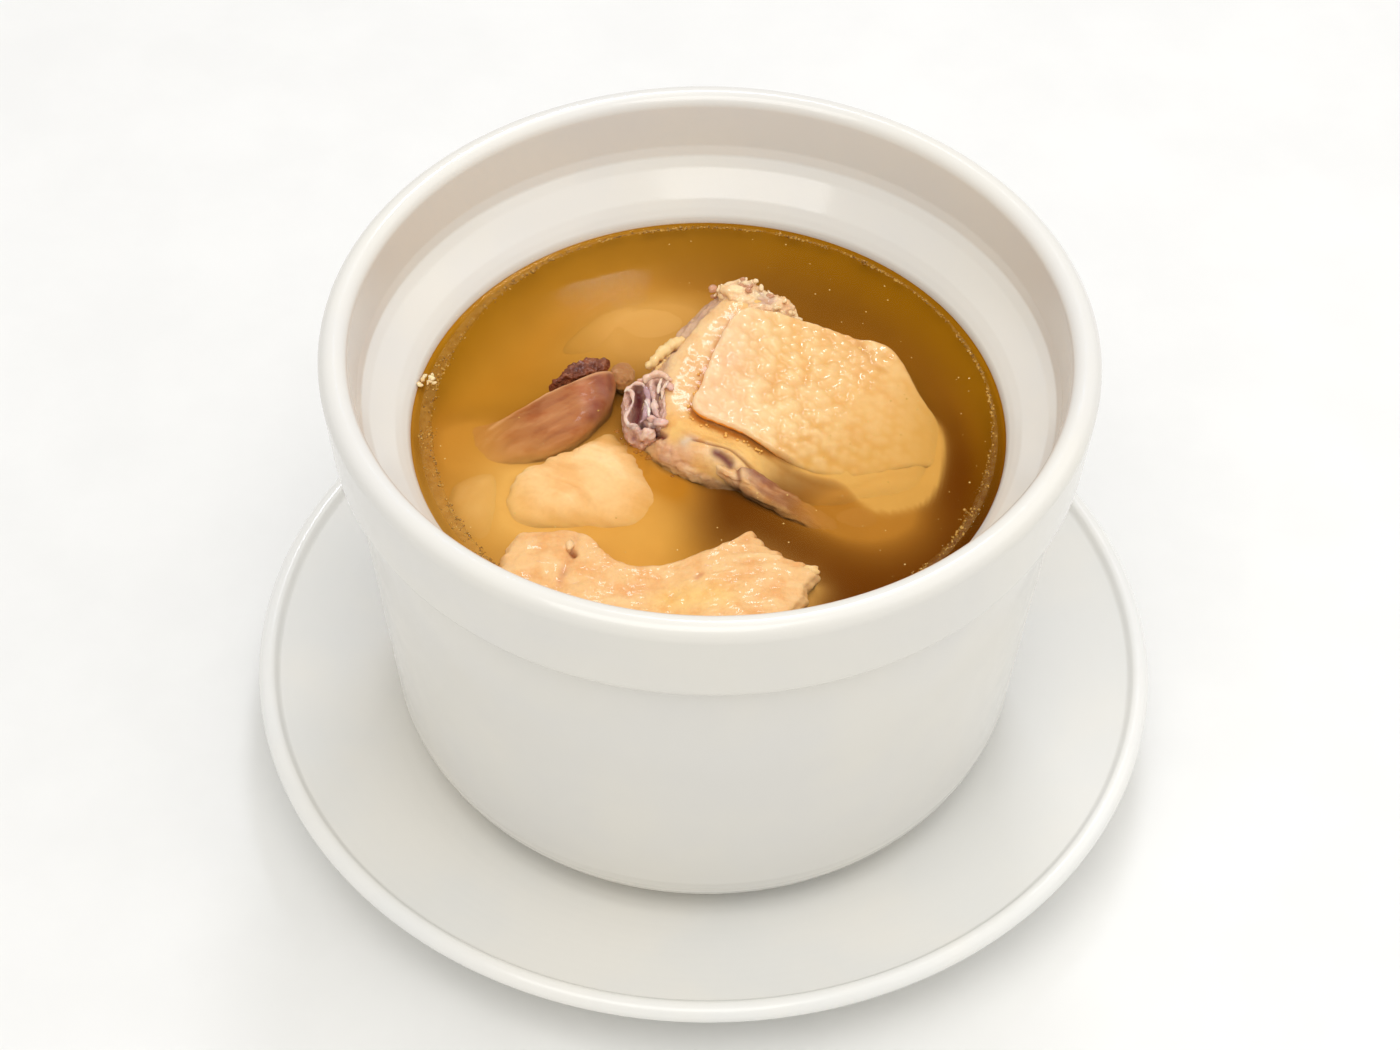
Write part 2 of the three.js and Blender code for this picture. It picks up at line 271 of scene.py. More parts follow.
def turned(profile: Array, steps: int) -> Form:
    """A closed body turned about the Z axis.

    Args:
        profile: M x 2 radii and heights, from the axis round the outside and back to the axis.
        steps: points in a turn.

    Returns:
        The form.
    """
    angle = np.linspace(0, 2 * math.pi, steps, endpoint=False)
    radius, height = profile[1:-1, :1], profile[1:-1, 1:]
    rings = np.stack([radius * np.cos(angle), radius * np.sin(angle), np.repeat(height, steps, axis=1)], axis=-1)
    return capped(rings, (0, 0, profile[0][1]), (0, 0, profile[-1][1]))


def smooth_line(corners: Sequence[Sequence[float]], count: int, closed: bool = False) -> Array:
    """A smooth line through corners, with evenly spaced points.

    Args:
        corners: the points it passes through.
        count: how many points it gets.
        closed: whether it ends where it starts.

    Returns:
        count x D points.
    """
    p = np.array(corners, dtype=float)
    if closed:
        p = np.concatenate([p[-1:], p, p[:2]])
    else:
        p = np.concatenate([2 * p[:1] - p[1:2], p, 2 * p[-1:] - p[-2:-1]])
    t = np.linspace(0, 1, 16, endpoint=False)[:, None]
    line = []
    for a, b, c, d in zip(p, p[1:], p[2:], p[3:]):
        ab, bc, cd = (max(np.linalg.norm(v) ** 0.5, 1e-6) for v in (b - a, c - b, d - c))
        leave = ((b - a) / ab - (c - a) / (ab + bc) + (c - b) / bc) * bc
        arrive = ((c - b) / bc - (d - b) / (bc + cd) + (d - c) / cd) * bc
        start = (2 * t**3 - 3 * t**2 + 1) * b + (t**3 - 2 * t**2 + t) * leave
        line.append(start + (3 * t**2 - 2 * t**3) * c + (t**3 - t**2) * arrive)
    line = np.concatenate([*line, p[-2:-1]])
    along = np.concatenate([[0], np.cumsum(np.linalg.norm(np.diff(line, axis=0), axis=1))])
    wanted = np.linspace(0, along[-1], count + 1)[:-1] if closed else np.linspace(0, along[-1], count)
    return np.stack([np.interp(wanted, along, column) for column in line.T], axis=1)


def reach_from(line: Array, places: Array) -> Array:
    """How far places are from a line, in plan or in space.

    Args:
        line: M x D points of the line.
        places: N x D places.

    Returns:
        N distances.
    """
    nearest = np.linalg.norm(places - line[0], axis=1)
    for a, b in zip(line, line[1:]):
        way = b - a
        share = np.clip(((places - a) @ way) / max(way @ way, 1e-9), 0, 1)
        nearest = np.minimum(nearest, np.linalg.norm(places - a - share[:, None] * way, axis=1))
    return nearest


def beyond(outline: Array, places: Array) -> Array:
    """How far places in plan are outside a closed outline.

    Args:
        outline: M x 2 points of the outline.
        places: N x 2 places.

    Returns:
        N distances, 0 inside it.
    """
    x, y = places.T
    inside = np.zeros(len(places), dtype=bool)
    for (ax, ay), (bx, by) in zip(outline, np.roll(outline, -1, axis=0)):
        crosses = (ay > y) != (by > y)
        inside ^= crosses & (x < ax + (y - ay) * (bx - ax) / ((by - ay) or 1e-9))
    return np.where(inside, 0.0, reach_from(np.vstack([outline, outline[:1]]), places))


@dataclass(frozen=True)
class LightShadePatch:
    """A patch of painted light and painted shade in the broth's colour: light where pale food under the surface would
    brighten the cloudy broth, shade where its colour is dark.
    """

    corners: tuple[Pair, ...]
    width: float  # how far outside its outline most of it has faded, mm
    colour: Triple
    depth: float  # how deep the bed is within it, mm
    share: float = 1.0

    def away(self, plan: Array) -> Array:
        """How far N x 2 places are outside it."""
        return beyond(smooth_line(self.corners, 48, closed=True), plan)


@dataclass(frozen=True)
class Haze:
    """The cloudy broth: its colour from place to place, with painted light and painted shade in it, and the bed where
    nothing more is made out.
    """

    radius: float  # of the pot's inside
    light_shade_patches: tuple[LightShadePatch, ...]
    golden: Triple = tone(188, 130, 38)
    grey: Triple = tone(142, 90, 20)
    brown: Triple = tone(104, 52, 2)
    amber: Triple = tone(176, 116, 6)
    # The grey brown to the right and the browner near right are partly painted shade of the chop and of the pot's right
    # wall, partly the broth's depth.
    grey_span: Pair = (-16.0, 14.0)  # where along X it turns from golden to grey brown
    brown_span: Pair = (24.0, -10.0)  # where along Y it turns browner at the right
    amber_span: Pair = (45.0, 51.5)  # where along the radius it turns to clear amber at the wall
    depth: float = 14.0
    steepness: float = 7.0  # how suddenly the bed rises at the wall
    fall: float = 0.5  # how steeply it falls away from the food
    blend: float = 1.2  # how softly its slopes meet, mm
    cover: float = 0.3  # least depth of the bed, mm

    def colour(self, points: Array) -> Array:
        """Its colour from place to place, with painted light and painted shade in it.

        Args:
            points: N x 3 places in mm.

        Returns:
            N x 3 colours in linear light.
        """
        plan = points[:, :2]
        flat = np.column_stack([plan, np.zeros(len(plan))])
        x, y = plan.T
        x = x + 5.0 * Grain(81).layered(flat, 17.0, 2)
        colour = np.tile(np.array(self.golden), (len(plan), 1))
        # Painted shade, with the broth's depth: greyer to the right and browner at the near right.
        colour += smooth_step(*self.grey_span, x)[:, None] * (np.array(self.grey) - colour)
        near = smooth_step(*self.brown_span, y) * smooth_step(-8, 8, x)
        colour += near[:, None] * (np.array(self.brown) - colour)
        wall = 0.75 * smooth_step(*self.amber_span, np.hypot(*plan.T)) * smooth_step(-30, 20, y)
        colour += wall[:, None] * (np.array(self.amber) - colour)
        # Patches of painted light about pale food under the surface, and of painted shade where a patch is dark.
        for glow in self.light_shade_patches:
            low, high = np.min(glow.corners, axis=0) - 6 * glow.width, np.max(glow.corners, axis=0) + 6 * glow.width
            near = np.all((plan > low) & (plan < high), axis=1)
            share = glow.share * np.exp(-glow.away(plan[near]) / glow.width)
            colour[near] += share[:, None] * (np.array(glow.colour) - colour[near])
        return colour

    def bed(self, plan: Array) -> Array:
        """Height of the bed below the level.

        Args:
            plan: N x 2 places in mm.

        Returns:
            N heights in mm, all of them negative.
        """
        height = -self.depth * (1 - (np.hypot(*plan.T) / self.radius) ** self.steepness) - self.cover
        for glow in self.light_shade_patches:
            other = -glow.depth - self.fall * glow.away(plan)
            gap = np.abs(height - other) / self.blend
            height = np.maximum(height, other) + self.blend * np.log1p(np.exp(-gap)) * (gap < 30)
        return np.minimum(height, -self.cover)


@dataclass(frozen=True)
class Trace:
    """A line or a spot on a lump that is sunk in, or that has another colour."""

    path: tuple[tuple[float, ...], ...]  # in plan, or in space with heights above the broth
    width: float  # from its middle to where most of it has faded, mm
    share: float = 1.0
    colour: Triple = (1, 1, 1)
    depth: float = 0.0  # how far it is sunk in, mm

    def at(self, places: Array) -> Array:
        """How strong it is from place to place.

        Args:
            places: N x 3 places in mm.

        Returns:
            N shares from 0 to 1.
        """
        line = np.array(self.path, dtype=float)
        if len(line) > 2:
            line = smooth_line(line, 8 * len(line))
        return self.share * np.exp(-((reach_from(line, places[:, : line.shape[1]]) / self.width) ** 2))


def strand(path: Sequence[Triple], radii: Sequence[float], sides: int = 10, count: int = 28) -> Form:
    """A round strand along a smooth path, closed at both ends.

    Args:
        path: points that it passes through.
        radii: its radius at even steps along it.
        sides: points round it.
        count: rings along it.

    Returns:
        The form.
    """
    line = smooth_line(path, count)
    way = np.gradient(line, axis=0)
    way /= np.linalg.norm(way, axis=1, keepdims=True)
    side = np.cross(way, [0.13, 0.07, 1.0])
    side /= np.linalg.norm(side, axis=1, keepdims=True)
    up = np.cross(side, way)
    share = np.linspace(0, 1, count)
    radius = np.interp(share, np.linspace(0, 1, len(radii)), radii)
    radius = radius * np.sqrt(np.clip(1 - (2 * share - 1) ** 8, 0.02, 1))
    angle = np.linspace(0, 2 * math.pi, sides, endpoint=False)
    spoke = np.cos(angle)[None, :, None] * up[:, None] + np.sin(angle)[None, :, None] * side[:, None]
    return capped(line[:, None] - radius[:, None, None] * spoke[:, ::-1], tuple(line[0]), tuple(line[-1]))


def pebble(centre: Triple, size: Triple, grain: Grain, rough: float = 0.25, steps: int = 14) -> Form:
    """A small uneven lump.

    Args:
        centre: its middle.
        size: its half width along each axis.
        grain: what makes it uneven.
        rough: how far it leaves a plain oval, as a share of its size.
        steps: points round it.

    Returns:
        The form.
    """
    tilt = np.linspace(-math.pi / 2, math.pi / 2, steps // 2 + 2)[1:-1, None]
    angle = np.linspace(0, 2 * math.pi, steps, endpoint=False)
    height = np.repeat(np.sin(tilt), steps, axis=1)
    rings = np.stack([np.cos(tilt) * np.cos(angle), np.cos(tilt) * np.sin(angle), height], axis=-1)
    form = capped(rings, (0, 0, -1), (0, 0, 1))
    swell = 1 + rough * grain.layered(form.points + np.array(centre), 0.9, 2)
    form.points = form.points * swell[:, None] * np.array(size) + np.array(centre)
    return form


def beads(centres: Array, radii: Array, flatness: float, sides: int = 7) -> Form:
    """Many small domes.

    Args:
        centres: N x 3 places of their bases.
        radii: N radii.
        flatness: height as a share of the radius.
        sides: points round one.

    Returns:
        All of them as one form.
    """
    angle = np.linspace(0, 2 * math.pi, sides, endpoint=False)
    rim = np.stack([np.cos(angle), np.sin(angle), np.zeros(sides)], axis=1)
    middle = rim * 0.72 + np.array([0, 0, 0.7 * flatness])
    shape = np.concatenate([rim, middle, [[0, 0, flatness], [0, 0, -0.3 * flatness]]])
    top, base = 2 * sides, 2 * sides + 1
    local = grid_faces(2, sides)
    local += [(sides + i, sides + (i + 1) % sides, top) for i in range(sides)]
    local += [((i + 1) % sides, i, base) for i in range(sides)]
    points = centres[:, None] + radii[:, None, None] * shape[None]
    faces = [tuple(i + n * len(shape) for i in face) for n in range(len(centres)) for face in local]
    return Form(points.reshape(-1, 3), faces)


@dataclass(frozen=True)
class Frays:
    """Short torn fibres that stand out along an edge."""

    path: tuple[Triple, ...]
    away: Triple  # where they point, about
    count: int = 14
    length: Pair = (0.8, 2.2)
    thick: Pair = (0.12, 0.3)
    colour: Triple = tone(250, 216, 160)
    seed: int = 1

    def form(self) -> Form:
        """Builds the fibres.

        Returns:
            All of them as one form.
        """
        random = np.random.default_rng(self.seed)
        line = smooth_line(self.path, 60)
        strands = []
        for _ in range(self.count):
            start = line[random.integers(60)] + random.normal(0, 0.25, 3)
            way = np.array(self.away) + random.normal(0, 0.45, 3)
            end = start + way / np.linalg.norm(way) * random.uniform(*self.length)
            bend = (start + end) / 2 + random.normal(0, 0.18, 3)
            thick = random.uniform(*self.thick)
            path = [tuple(start - way * 0.4), tuple(start), tuple(bend), tuple(end)]
            strands.append(strand(path, (thick * 1.5, thick, thick * 0.6), 6, 9))
        return joined(strands).dyed(self.colour)


# ------------------------------------------------------------------ finishes


class Sheet:
    """A material's node tree, with short calls for the nodes that the finishes use."""

    def __init__(self, name: str) -> None:
        """Starts an empty material.

        Args:
            name: the material's name.
        """
        self.material = bpy.data.materials.new(name)
        self.material.use_nodes = True
        self.tree = self.material.node_tree
        self.tree.nodes.clear()
        self.output = self.tree.nodes.new("ShaderNodeOutputMaterial")
        self.place = self.node("ShaderNodeNewGeometry").outputs["Position"]

    def node(self, kind: str, inputs: dict | None = None, **settings: object) -> bpy.types.Node:
        """Adds a node.

        Args:
            kind: its type.
            inputs: sockets by name or number, each a value or another node's output.
            **settings: its properties.

        Returns:
            The node.
        """
        node = self.tree.nodes.new(kind)
        for key, value in settings.items():
            setattr(node, key, value)
        for key, value in (inputs or {}).items():
            if isinstance(value, bpy.types.NodeSocket):
                self.tree.links.new(value, node.inputs[key])
            else:
                node.inputs[key].default_value = value
        return node

    def math(self, operation: str, a: object, b: object = 0.0) -> bpy.types.NodeSocket:
        """A sum of two numbers by a named operation."""
        return self.node("ShaderNodeMath", {0: a, 1: b}, operation=operation).outputs[0]

    def mix(self, share: object, a: object, b: object, how: str = "MIX") -> bpy.types.NodeSocket:
        """A mix of two colours.

        Args:
            share: how much of the second one it has.
            a: the first colour.
            b: the second one.
            how: Blender's name for the way they mix.

        Returns:
            The mixed colour.
        """
        a, b = (v if isinstance(v, bpy.types.NodeSocket) else (*v, 1.0) for v in (a, b))
        node = self.node("ShaderNodeMix", {0: share, 6: a, 7: b}, data_type="RGBA", blend_type=how)
        return node.outputs[2]

    def blend(self, share: object, a: object, b: object) -> bpy.types.NodeSocket:
        """A mix of two numbers."""
        return self.node("ShaderNodeMix", {0: share, 2: a, 3: b}, data_type="FLOAT").outputs[0]

    def noise(self, size: float, detail: float = 3, stretch: Triple = (1, 1, 1)) -> bpy.types.NodeSocket:
        """Soft noise about 0.5.

        Args:
            size: width of its features in mm.
            detail: how many finer layers it has.
            stretch: how much closer together its features lie along each axis.

        Returns:
            The noise's factor.
        """
        place = self.node("ShaderNodeVectorMath", {0: self.place, 1: stretch}, operation="MULTIPLY").outputs[0]
        inputs = {"Vector": place, "Scale": 1 / (size * MM), "Detail": detail, "Roughness": 0.55}
        return self.node("ShaderNodeTexNoise", inputs).outputs["Fac"]

    def span(self, value: object, low: float, high: float, to_low: object, to_high: object) -> bpy.types.NodeSocket:
        """A value moved from one range to another, and held at its ends."""
        inputs = {"Value": value, "From Min": low, "From Max": high, "To Min": to_low, "To Max": to_high}
        return self.node("ShaderNodeMapRange", inputs, interpolation_type="SMOOTHSTEP").outputs[0]

    def along(self, way: Triple) -> bpy.types.NodeSocket:
        """How far a place lies along a direction, in mm times the direction's length."""
        inputs = {0: self.place, 1: tuple(c / MM for c in way)}
        return self.node("ShaderNodeVectorMath", inputs, operation="DOT_PRODUCT").outputs["Value"]

    def height(self) -> bpy.types.NodeSocket:
        """Height above the broth in mm."""
        return self.math("SUBTRACT", self.along((0, 0, 1)), BROTH_Z)

    def bump(self, height: object, depth: object) -> bpy.types.NodeSocket:
        """Fine relief, with its depth in mm."""
        inputs = {"Height": self.math("MULTIPLY", height, depth), "Strength": 1.0, "Distance": MM}
        return self.node("ShaderNodeBump", inputs).outputs["Normal"]

    def clearness(self, reach: float) -> bpy.types.NodeSocket:
        """How much of a thing is still seen at its depth in the broth.

        Args:
            reach: depth at which two thirds of it is hidden, mm.

        Returns:
            The share, 1 above the broth and less with depth.
        """
        depth = self.math("MAXIMUM", self.math("MULTIPLY", self.height(), -1 / reach), 0.0)
        return self.math("POWER", math.e, self.math("MULTIPLY", self.math("POWER", depth, 1.6), -1.0))

    def levelled(self, clear: object, normal: bpy.types.NodeSocket) -> bpy.types.NodeSocket:
        """A surface's direction as the cloudy broth over it evens it out."""
        inputs = {"Factor": clear, 4: (0, 0, 1), 5: normal}
        return self.node("ShaderNodeMix", inputs, data_type="VECTOR").outputs[1]

    def surface(self, shader: bpy.types.Node) -> bpy.types.Material:
        """Sends a shader to the output and returns the material."""
        self.tree.links.new(shader.outputs[0], self.output.inputs["Surface"])
        return self.material


@dataclass(frozen=True)
class Glaze:
    """White porcelain glaze: a faint unevenness of colour, gloss and surface."""

    name: str
    colour: Triple = tone(240, 238, 232)
    cooler: Triple = tone(235, 235, 232)
    roughness: Pair = (0.12, 0.2)
    wave: float = 0.05  # depth of the slow unevenness of the glaze, mm

    def material(self) -> bpy.types.Material:
        """Makes the material.

        Returns:
            The material, with its nodes.
        """
        sheet = Sheet(self.name)
        colour = sheet.mix(sheet.span(sheet.noise(38), 0.35, 0.65, 0.0, 1.0), self.colour, self.cooler)
        rough = sheet.span(sheet.noise(9, 4), 0.3, 0.7, *self.roughness)
        inputs = {
            "Base Color": colour, "Roughness": rough, "Normal": sheet.bump(sheet.noise(16, 2), self.wave), "IOR": 1.5,
        }
        return sheet.surface(sheet.node("ShaderNodeBsdfPrincipled", inputs))


@dataclass(frozen=True)
class Flesh:
    """Cooked chicken: its tint, mottled, with a fine grain, wet above the broth and dull under it."""

    name: str
    warmer: Triple = tone(238, 196, 140)  # what the mottling takes the tint towards
    mottle: float = 0.6
    mottle_size: float = 5.0
    stretch: Triple = (1, 1, 1)
    grain: float = 0.12  # depth of the fine grain, mm
    grain_size: float = 0.8
    fleck: float = 0.08  # how much darker the grain's pits are
    roughness: Pair = (0.28, 0.5)
    coat: float = 0.35
    glow: float = 0.15  # share of light that goes in and out again
    reach: float = 11.0

    def material(self) -> bpy.types.Material:
        """Makes the material.

        Returns:
            The material, with its nodes.
        """
        sheet = Sheet(self.name)
        tint = sheet.node("ShaderNodeAttribute", attribute_name="tint").outputs["Color"]
        blotch = sheet.span(sheet.noise(self.mottle_size, 4, self.stretch), 0.42, 0.68, 0.0, self.mottle)
        colour = sheet.mix(blotch, tint, sheet.mix(1.0, tint, self.warmer, "MULTIPLY"))
        fleck = sheet.span(sheet.noise(self.grain_size, 2, self.stretch), 0.35, 0.7, 0.0, self.fleck)
        clear = sheet.clearness(self.reach)
        # Under the broth the colour turns with depth to the haze colour, which carries painted light and painted shade.
        haze = sheet.node("ShaderNodeAttribute", attribute_name="haze").outputs["Color"]
        colour = sheet.mix(clear, haze, sheet.mix(fleck, colour, (0.35, 0.2, 0.1)))
        out = sheet.span(sheet.height(), -0.3, 0.5, 0.0, 1.0)
        shine = sheet.span(sheet.noise(2.2, 3), 0.35, 0.65, *self.roughness)
        relief = sheet.bump(sheet.noise(self.grain_size, 4, self.stretch), sheet.blend(out, 0.3, 1.0))
        relief.node.inputs["Distance"].default_value = self.grain * 2 * MM
        relief = sheet.levelled(clear, relief)
        inputs = {
            "Base Color": colour, "Roughness": sheet.blend(out, 0.95, shine), "Normal": relief, "IOR": 1.4,
            "Specular IOR Level": 0.15, "Coat Weight": sheet.math("MULTIPLY", out, self.coat), "Coat Roughness": 0.08,
            "Subsurface Weight": self.glow, "Subsurface Radius": (1.0, 0.5, 0.22), "Subsurface Scale": 0.0016,
        }
        return sheet.surface(sheet.node("ShaderNodeBsdfPrincipled", inputs))


@dataclass(frozen=True)
class Liquid:
    """Clear golden broth: a mirror-smooth skin over a body that takes the blue out of the light."""

    name: str = "clear_broth"
    passes: Triple = (0.95, 0.84, 0.2)
    density: float = 9.0  # per metre
    bends: float = 1.33
    shine: Triple = (0.38, 0.3, 0.14)

    def material(self) -> bpy.types.Material:
        """Makes the material.

        Returns:
            The material, with its nodes.
        """
        sheet = Sheet(self.name)
        mirror = sheet.node("ShaderNodeBsdfGlossy", {"Color": (*self.shine, 1), "Roughness": 0.07})
        clear = sheet.node("ShaderNodeBsdfTransparent", {"Color": (1, 1, 1, 1)})
        head_on = ((self.bends - 1) / (self.bends + 1)) ** 2
        edge = sheet.math("POWER", sheet.node("ShaderNodeLayerWeight", {"Blend": 0.5}).outputs["Facing"], 5.0)
        share = sheet.math("ADD", sheet.math("MULTIPLY", edge, 1 - head_on), head_on)
        skin = sheet.node("ShaderNodeMixShader", {0: share, 1: clear.outputs[0], 2: mirror.outputs[0]})
        body = sheet.node("ShaderNodeVolumeAbsorption", {"Color": (*self.passes, 1), "Density": self.density})
        sheet.tree.links.new(body.outputs[0], sheet.output.inputs["Volume"])
        return sheet.surface(skin)


@dataclass(frozen=True)
class Depth:
    """The broth's cloudy depth, where nothing more can be made out."""

    name: str = "cloudy_depth"
    cloud: Triple = (0.72, 0.66, 0.55)  # what its darker swirls take its colour towards

    def material(self) -> bpy.types.Material:
        """Makes the material.

        Returns:
            The material, with its nodes.
        """
        sheet = Sheet(self.name)
        # Its colour is the haze colour, with painted light and painted shade in it.
        haze = sheet.node("ShaderNodeAttribute", attribute_name="haze").outputs["Color"]
        cloud = sheet.span(sheet.noise(9, 4), 0.3, 0.7, 0.0, 0.22)
        inputs = {
            "Base Color": sheet.mix(cloud, haze, sheet.mix(1.0, haze, self.cloud, "MULTIPLY")), "Roughness": 1.0,
            "Specular IOR Level": 0.0, "Normal": sheet.levelled(0.15, sheet.bump(sheet.noise(20, 1), 0.1)),
        }
        return sheet.surface(sheet.node("ShaderNodeBsdfPrincipled", inputs))


@dataclass(frozen=True)
class Fat:
    """Melted fat and foam on the broth: small golden lenses."""

    name: str = "golden_fat"
    colour: Triple = tone(226, 180, 88)
    darker: Triple = tone(164, 110, 30)
    clear: float = 0.45  # how much shows through
    roughness: float = 0.1
    patch_size: float = 1.2

    def material(self) -> bpy.types.Material:
        """Makes the material.

        Returns:
            The material, with its nodes.
        """
        sheet = Sheet(self.name)
        share = sheet.span(sheet.noise(self.patch_size, 2), 0.35, 0.65, 0.0, 1.0)
        colour = sheet.mix(share, self.colour, self.darker)
        drop = sheet.node("ShaderNodeBsdfPrincipled", {"Base Color": colour, "Roughness": self.roughness, "IOR": 1.45})
        clear = sheet.node("ShaderNodeBsdfTransparent", {"Color": (1, 1, 1, 1)})
        inputs = {0: self.clear, 1: drop.outputs[0], 2: clear.outputs[0]}
        return sheet.surface(sheet.node("ShaderNodeMixShader", inputs))


@dataclass(frozen=True)
class Matt:
    """The pale floor under the part: a dry matt board with a faint fleck."""

    name: str = "pale_board"
    colour: Triple = tone(240, 240, 238)

    def material(self) -> bpy.types.Material:
        """Makes the material.

        Returns:
            The material, with its nodes.
        """
        sheet = Sheet(self.name)
        fleck = sheet.span(sheet.noise(30, 4), 0.3, 0.7, 0.0, 1.0)
        colour = sheet.mix(fleck, self.colour, tuple(c * 0.97 for c in self.colour))
        return sheet.surface(sheet.node("ShaderNodeBsdfPrincipled", {"Base Color": colour, "Roughness": 0.7}))


# ------------------------------------------------------------------ pieces


def make_piece(
    name: str, form: Form, material: bpy.types.Material, nodes: Sequence[str] = (), lift: float = 0.0,
    haze: Haze | None = None,
) -> bpy.types.Object:
    """Turns a form into a piece of the object and says where it belongs.

    Args:
        name: the piece's name.
        form: its mesh, in mm.
        material: its finish.
        nodes: CAD nodes that it stands for.
        lift: how far up it is moved, mm.
        haze: the cloudy broth that it stands in.

    Returns:
        The piece.
    """
    mesh = bpy.data.meshes.new(name)
    mesh.from_pydata(((form.points + np.array([0, 0, lift])) * MM).tolist(), [], form.faces)
    # The haze colour stored on each point carries painted light and painted shade.
    colours = {"tint": form.tint} | ({"haze": haze.colour(form.points)} if haze else {})
    for label, colour in colours.items():
        layer = mesh.attributes.new(label, "FLOAT_COLOR", "POINT")
        layer.data.foreach_set("color", np.concatenate([colour, np.ones((len(colour), 1))], axis=1).ravel())
    mesh.polygons.foreach_set("use_smooth", np.ones(len(mesh.polygons), dtype=bool))
    mesh.materials.append(material)
    piece = bpy.data.objects.new(name, mesh)
    bpy.context.scene.collection.objects.link(piece)
    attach(piece, BODY)
    if nodes:
        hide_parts(*nodes)
    LOG.info("%s: %d faces, stands for %s", name, len(mesh.polygons), ", ".join(nodes) or "nothing")
    return piece


def arc(centre: Pair, radius: float, start: float, end: float, steps: int) -> list[Pair]:
    """Points on an arc of a profile.

    Args:
        centre: its radius and height.
        radius: of the arc.
        start: its first angle in degrees.
        end: its last one.
        steps: how many stretches it has.

    Returns:
        The points.
    """
    angles = np.radians(np.linspace(start, end, steps + 1))
    return [(centre[0] + radius * math.cos(a), centre[1] + radius * math.sin(a)) for a in angles]


@dataclass(frozen=True)
class Saucer:
    """The dished saucer with its thick rounded edge."""

    foot_inner: float = 43.5
    foot_outer: float = 48.0
    foot_height: float = 2.6
    well: float = 50.0
    well_z: float = 7.0
    edge_z: float = 17.1
    lip: float = 1.9
    wall: float = 4.0
    rise: float = 1.6
    steps: int = 224

    def dish(self, radius: float) -> float:
        """Height of the upper surface outside the well."""
        share = max(0.0, radius - self.well) / (SAUCER_R - 2 * self.lip - self.well)
        return self.well_z + (self.edge_z + 0.4 - self.well_z) * share**self.rise

    def build(self) -> bpy.types.Object:
        """Builds the saucer.

        Returns:
            The piece.
        """
        radii = np.linspace(self.well, SAUCER_R - 2 * self.lip - 0.1, 14)
        profile = [(0, self.foot_height), (self.foot_inner - 1, self.foot_height), (self.foot_inner, 0)]
        profile += [(self.foot_outer, 0), (self.foot_outer + 1, self.foot_height)]
        profile += [(r + 1, self.dish(r) - self.wall) for r in radii[2:]]
        profile += arc((SAUCER_R - self.lip, self.edge_z), self.lip, -50, 130, 12)
        profile += [(r, self.dish(r)) for r in radii[::-1]]
        profile += [(0, self.well_z)]
        form = turned(rounded(profile, 0.8), self.steps)
        return make_piece("glazed_saucer", form, Glaze("saucer_glaze").material(), ["saucer"])


@dataclass(frozen=True)
class Pot:
    """The tapered steaming pot: collar, rounded lip and a slope inside for a lid."""

    foot_inner: float = 40.5
    foot_outer: float = 44.0
    foot_height: float = 1.2
    corner: float = 15.6
    lower: float = 58.65
    upper: float = 63.7
    collar_z: float = 82.6
    collar: float = 66.4
    collar_round: float = 1.8
    rim_z: float = 98.0
    lip: float = 2.6
    seat_top: Pair = (61.2, 88.0)
    seat_low: Pair = (54.8, 81.7)
    inner: float = 52.7
    inner_low: float = 51.2
    inner_corner: float = 14.0
    floor_z: float = 13.5
    steps: int = 256

    def hollow(self, outset: float = 0.0) -> list[Pair]:
        """Profile of the inside from the broth's level to the middle of the floor.

        Args:
            outset: how far outside the wall it runs.

        Returns:
            The points.
        """
        middle = (self.inner_low - self.inner_corner, self.floor_z + self.inner_corner)
        bend = arc(middle, self.inner_corner + outset, 0, -90, 8)
        return [(self.inner + outset, BROTH_Z), *bend, (0, self.floor_z - outset)]

    def build(self) -> bpy.types.Object:
        """Builds the pot.

        Returns:
            The piece.
        """
        foot = POT_FOOT_Z + self.foot_height
        (top_r, top_z), (low_r, low_z) = self.seat_top, self.seat_low
        profile = [(0, foot), (self.foot_inner - 1, foot), (self.foot_inner, POT_FOOT_Z)]
        profile += [(self.foot_outer, POT_FOOT_Z)]
        profile += arc((self.lower - self.corner, POT_FOOT_Z + self.corner), self.corner, -82, 0, 10)
        profile += [(self.upper, self.collar_z - 0.6)]
        middle = (self.collar - self.collar_round, self.collar_z + self.collar_round)
        profile += arc(middle, self.collar_round, -90, 0, 4)
        profile += arc((POT_R - self.lip, self.rim_z), self.lip, 0, 180, 12)
        profile += [(top_r + 0.2, top_z + 2), (top_r - 0.4, top_z), (top_r - 1.8, top_z - 1.7)]
        profile += [(low_r + 0.4, low_z + 0.6), (low_r - 0.8, low_z - 0.8), (low_r - 1.7, low_z - 2)]
        profile += self.hollow()
        form = turned(rounded(profile, 0.7), self.steps)
        finish = Glaze("pot_glaze", tone(230, 227, 219), tone(226, 224, 219))
        return make_piece("glazed_pot", form, finish.material(), ["pot"])


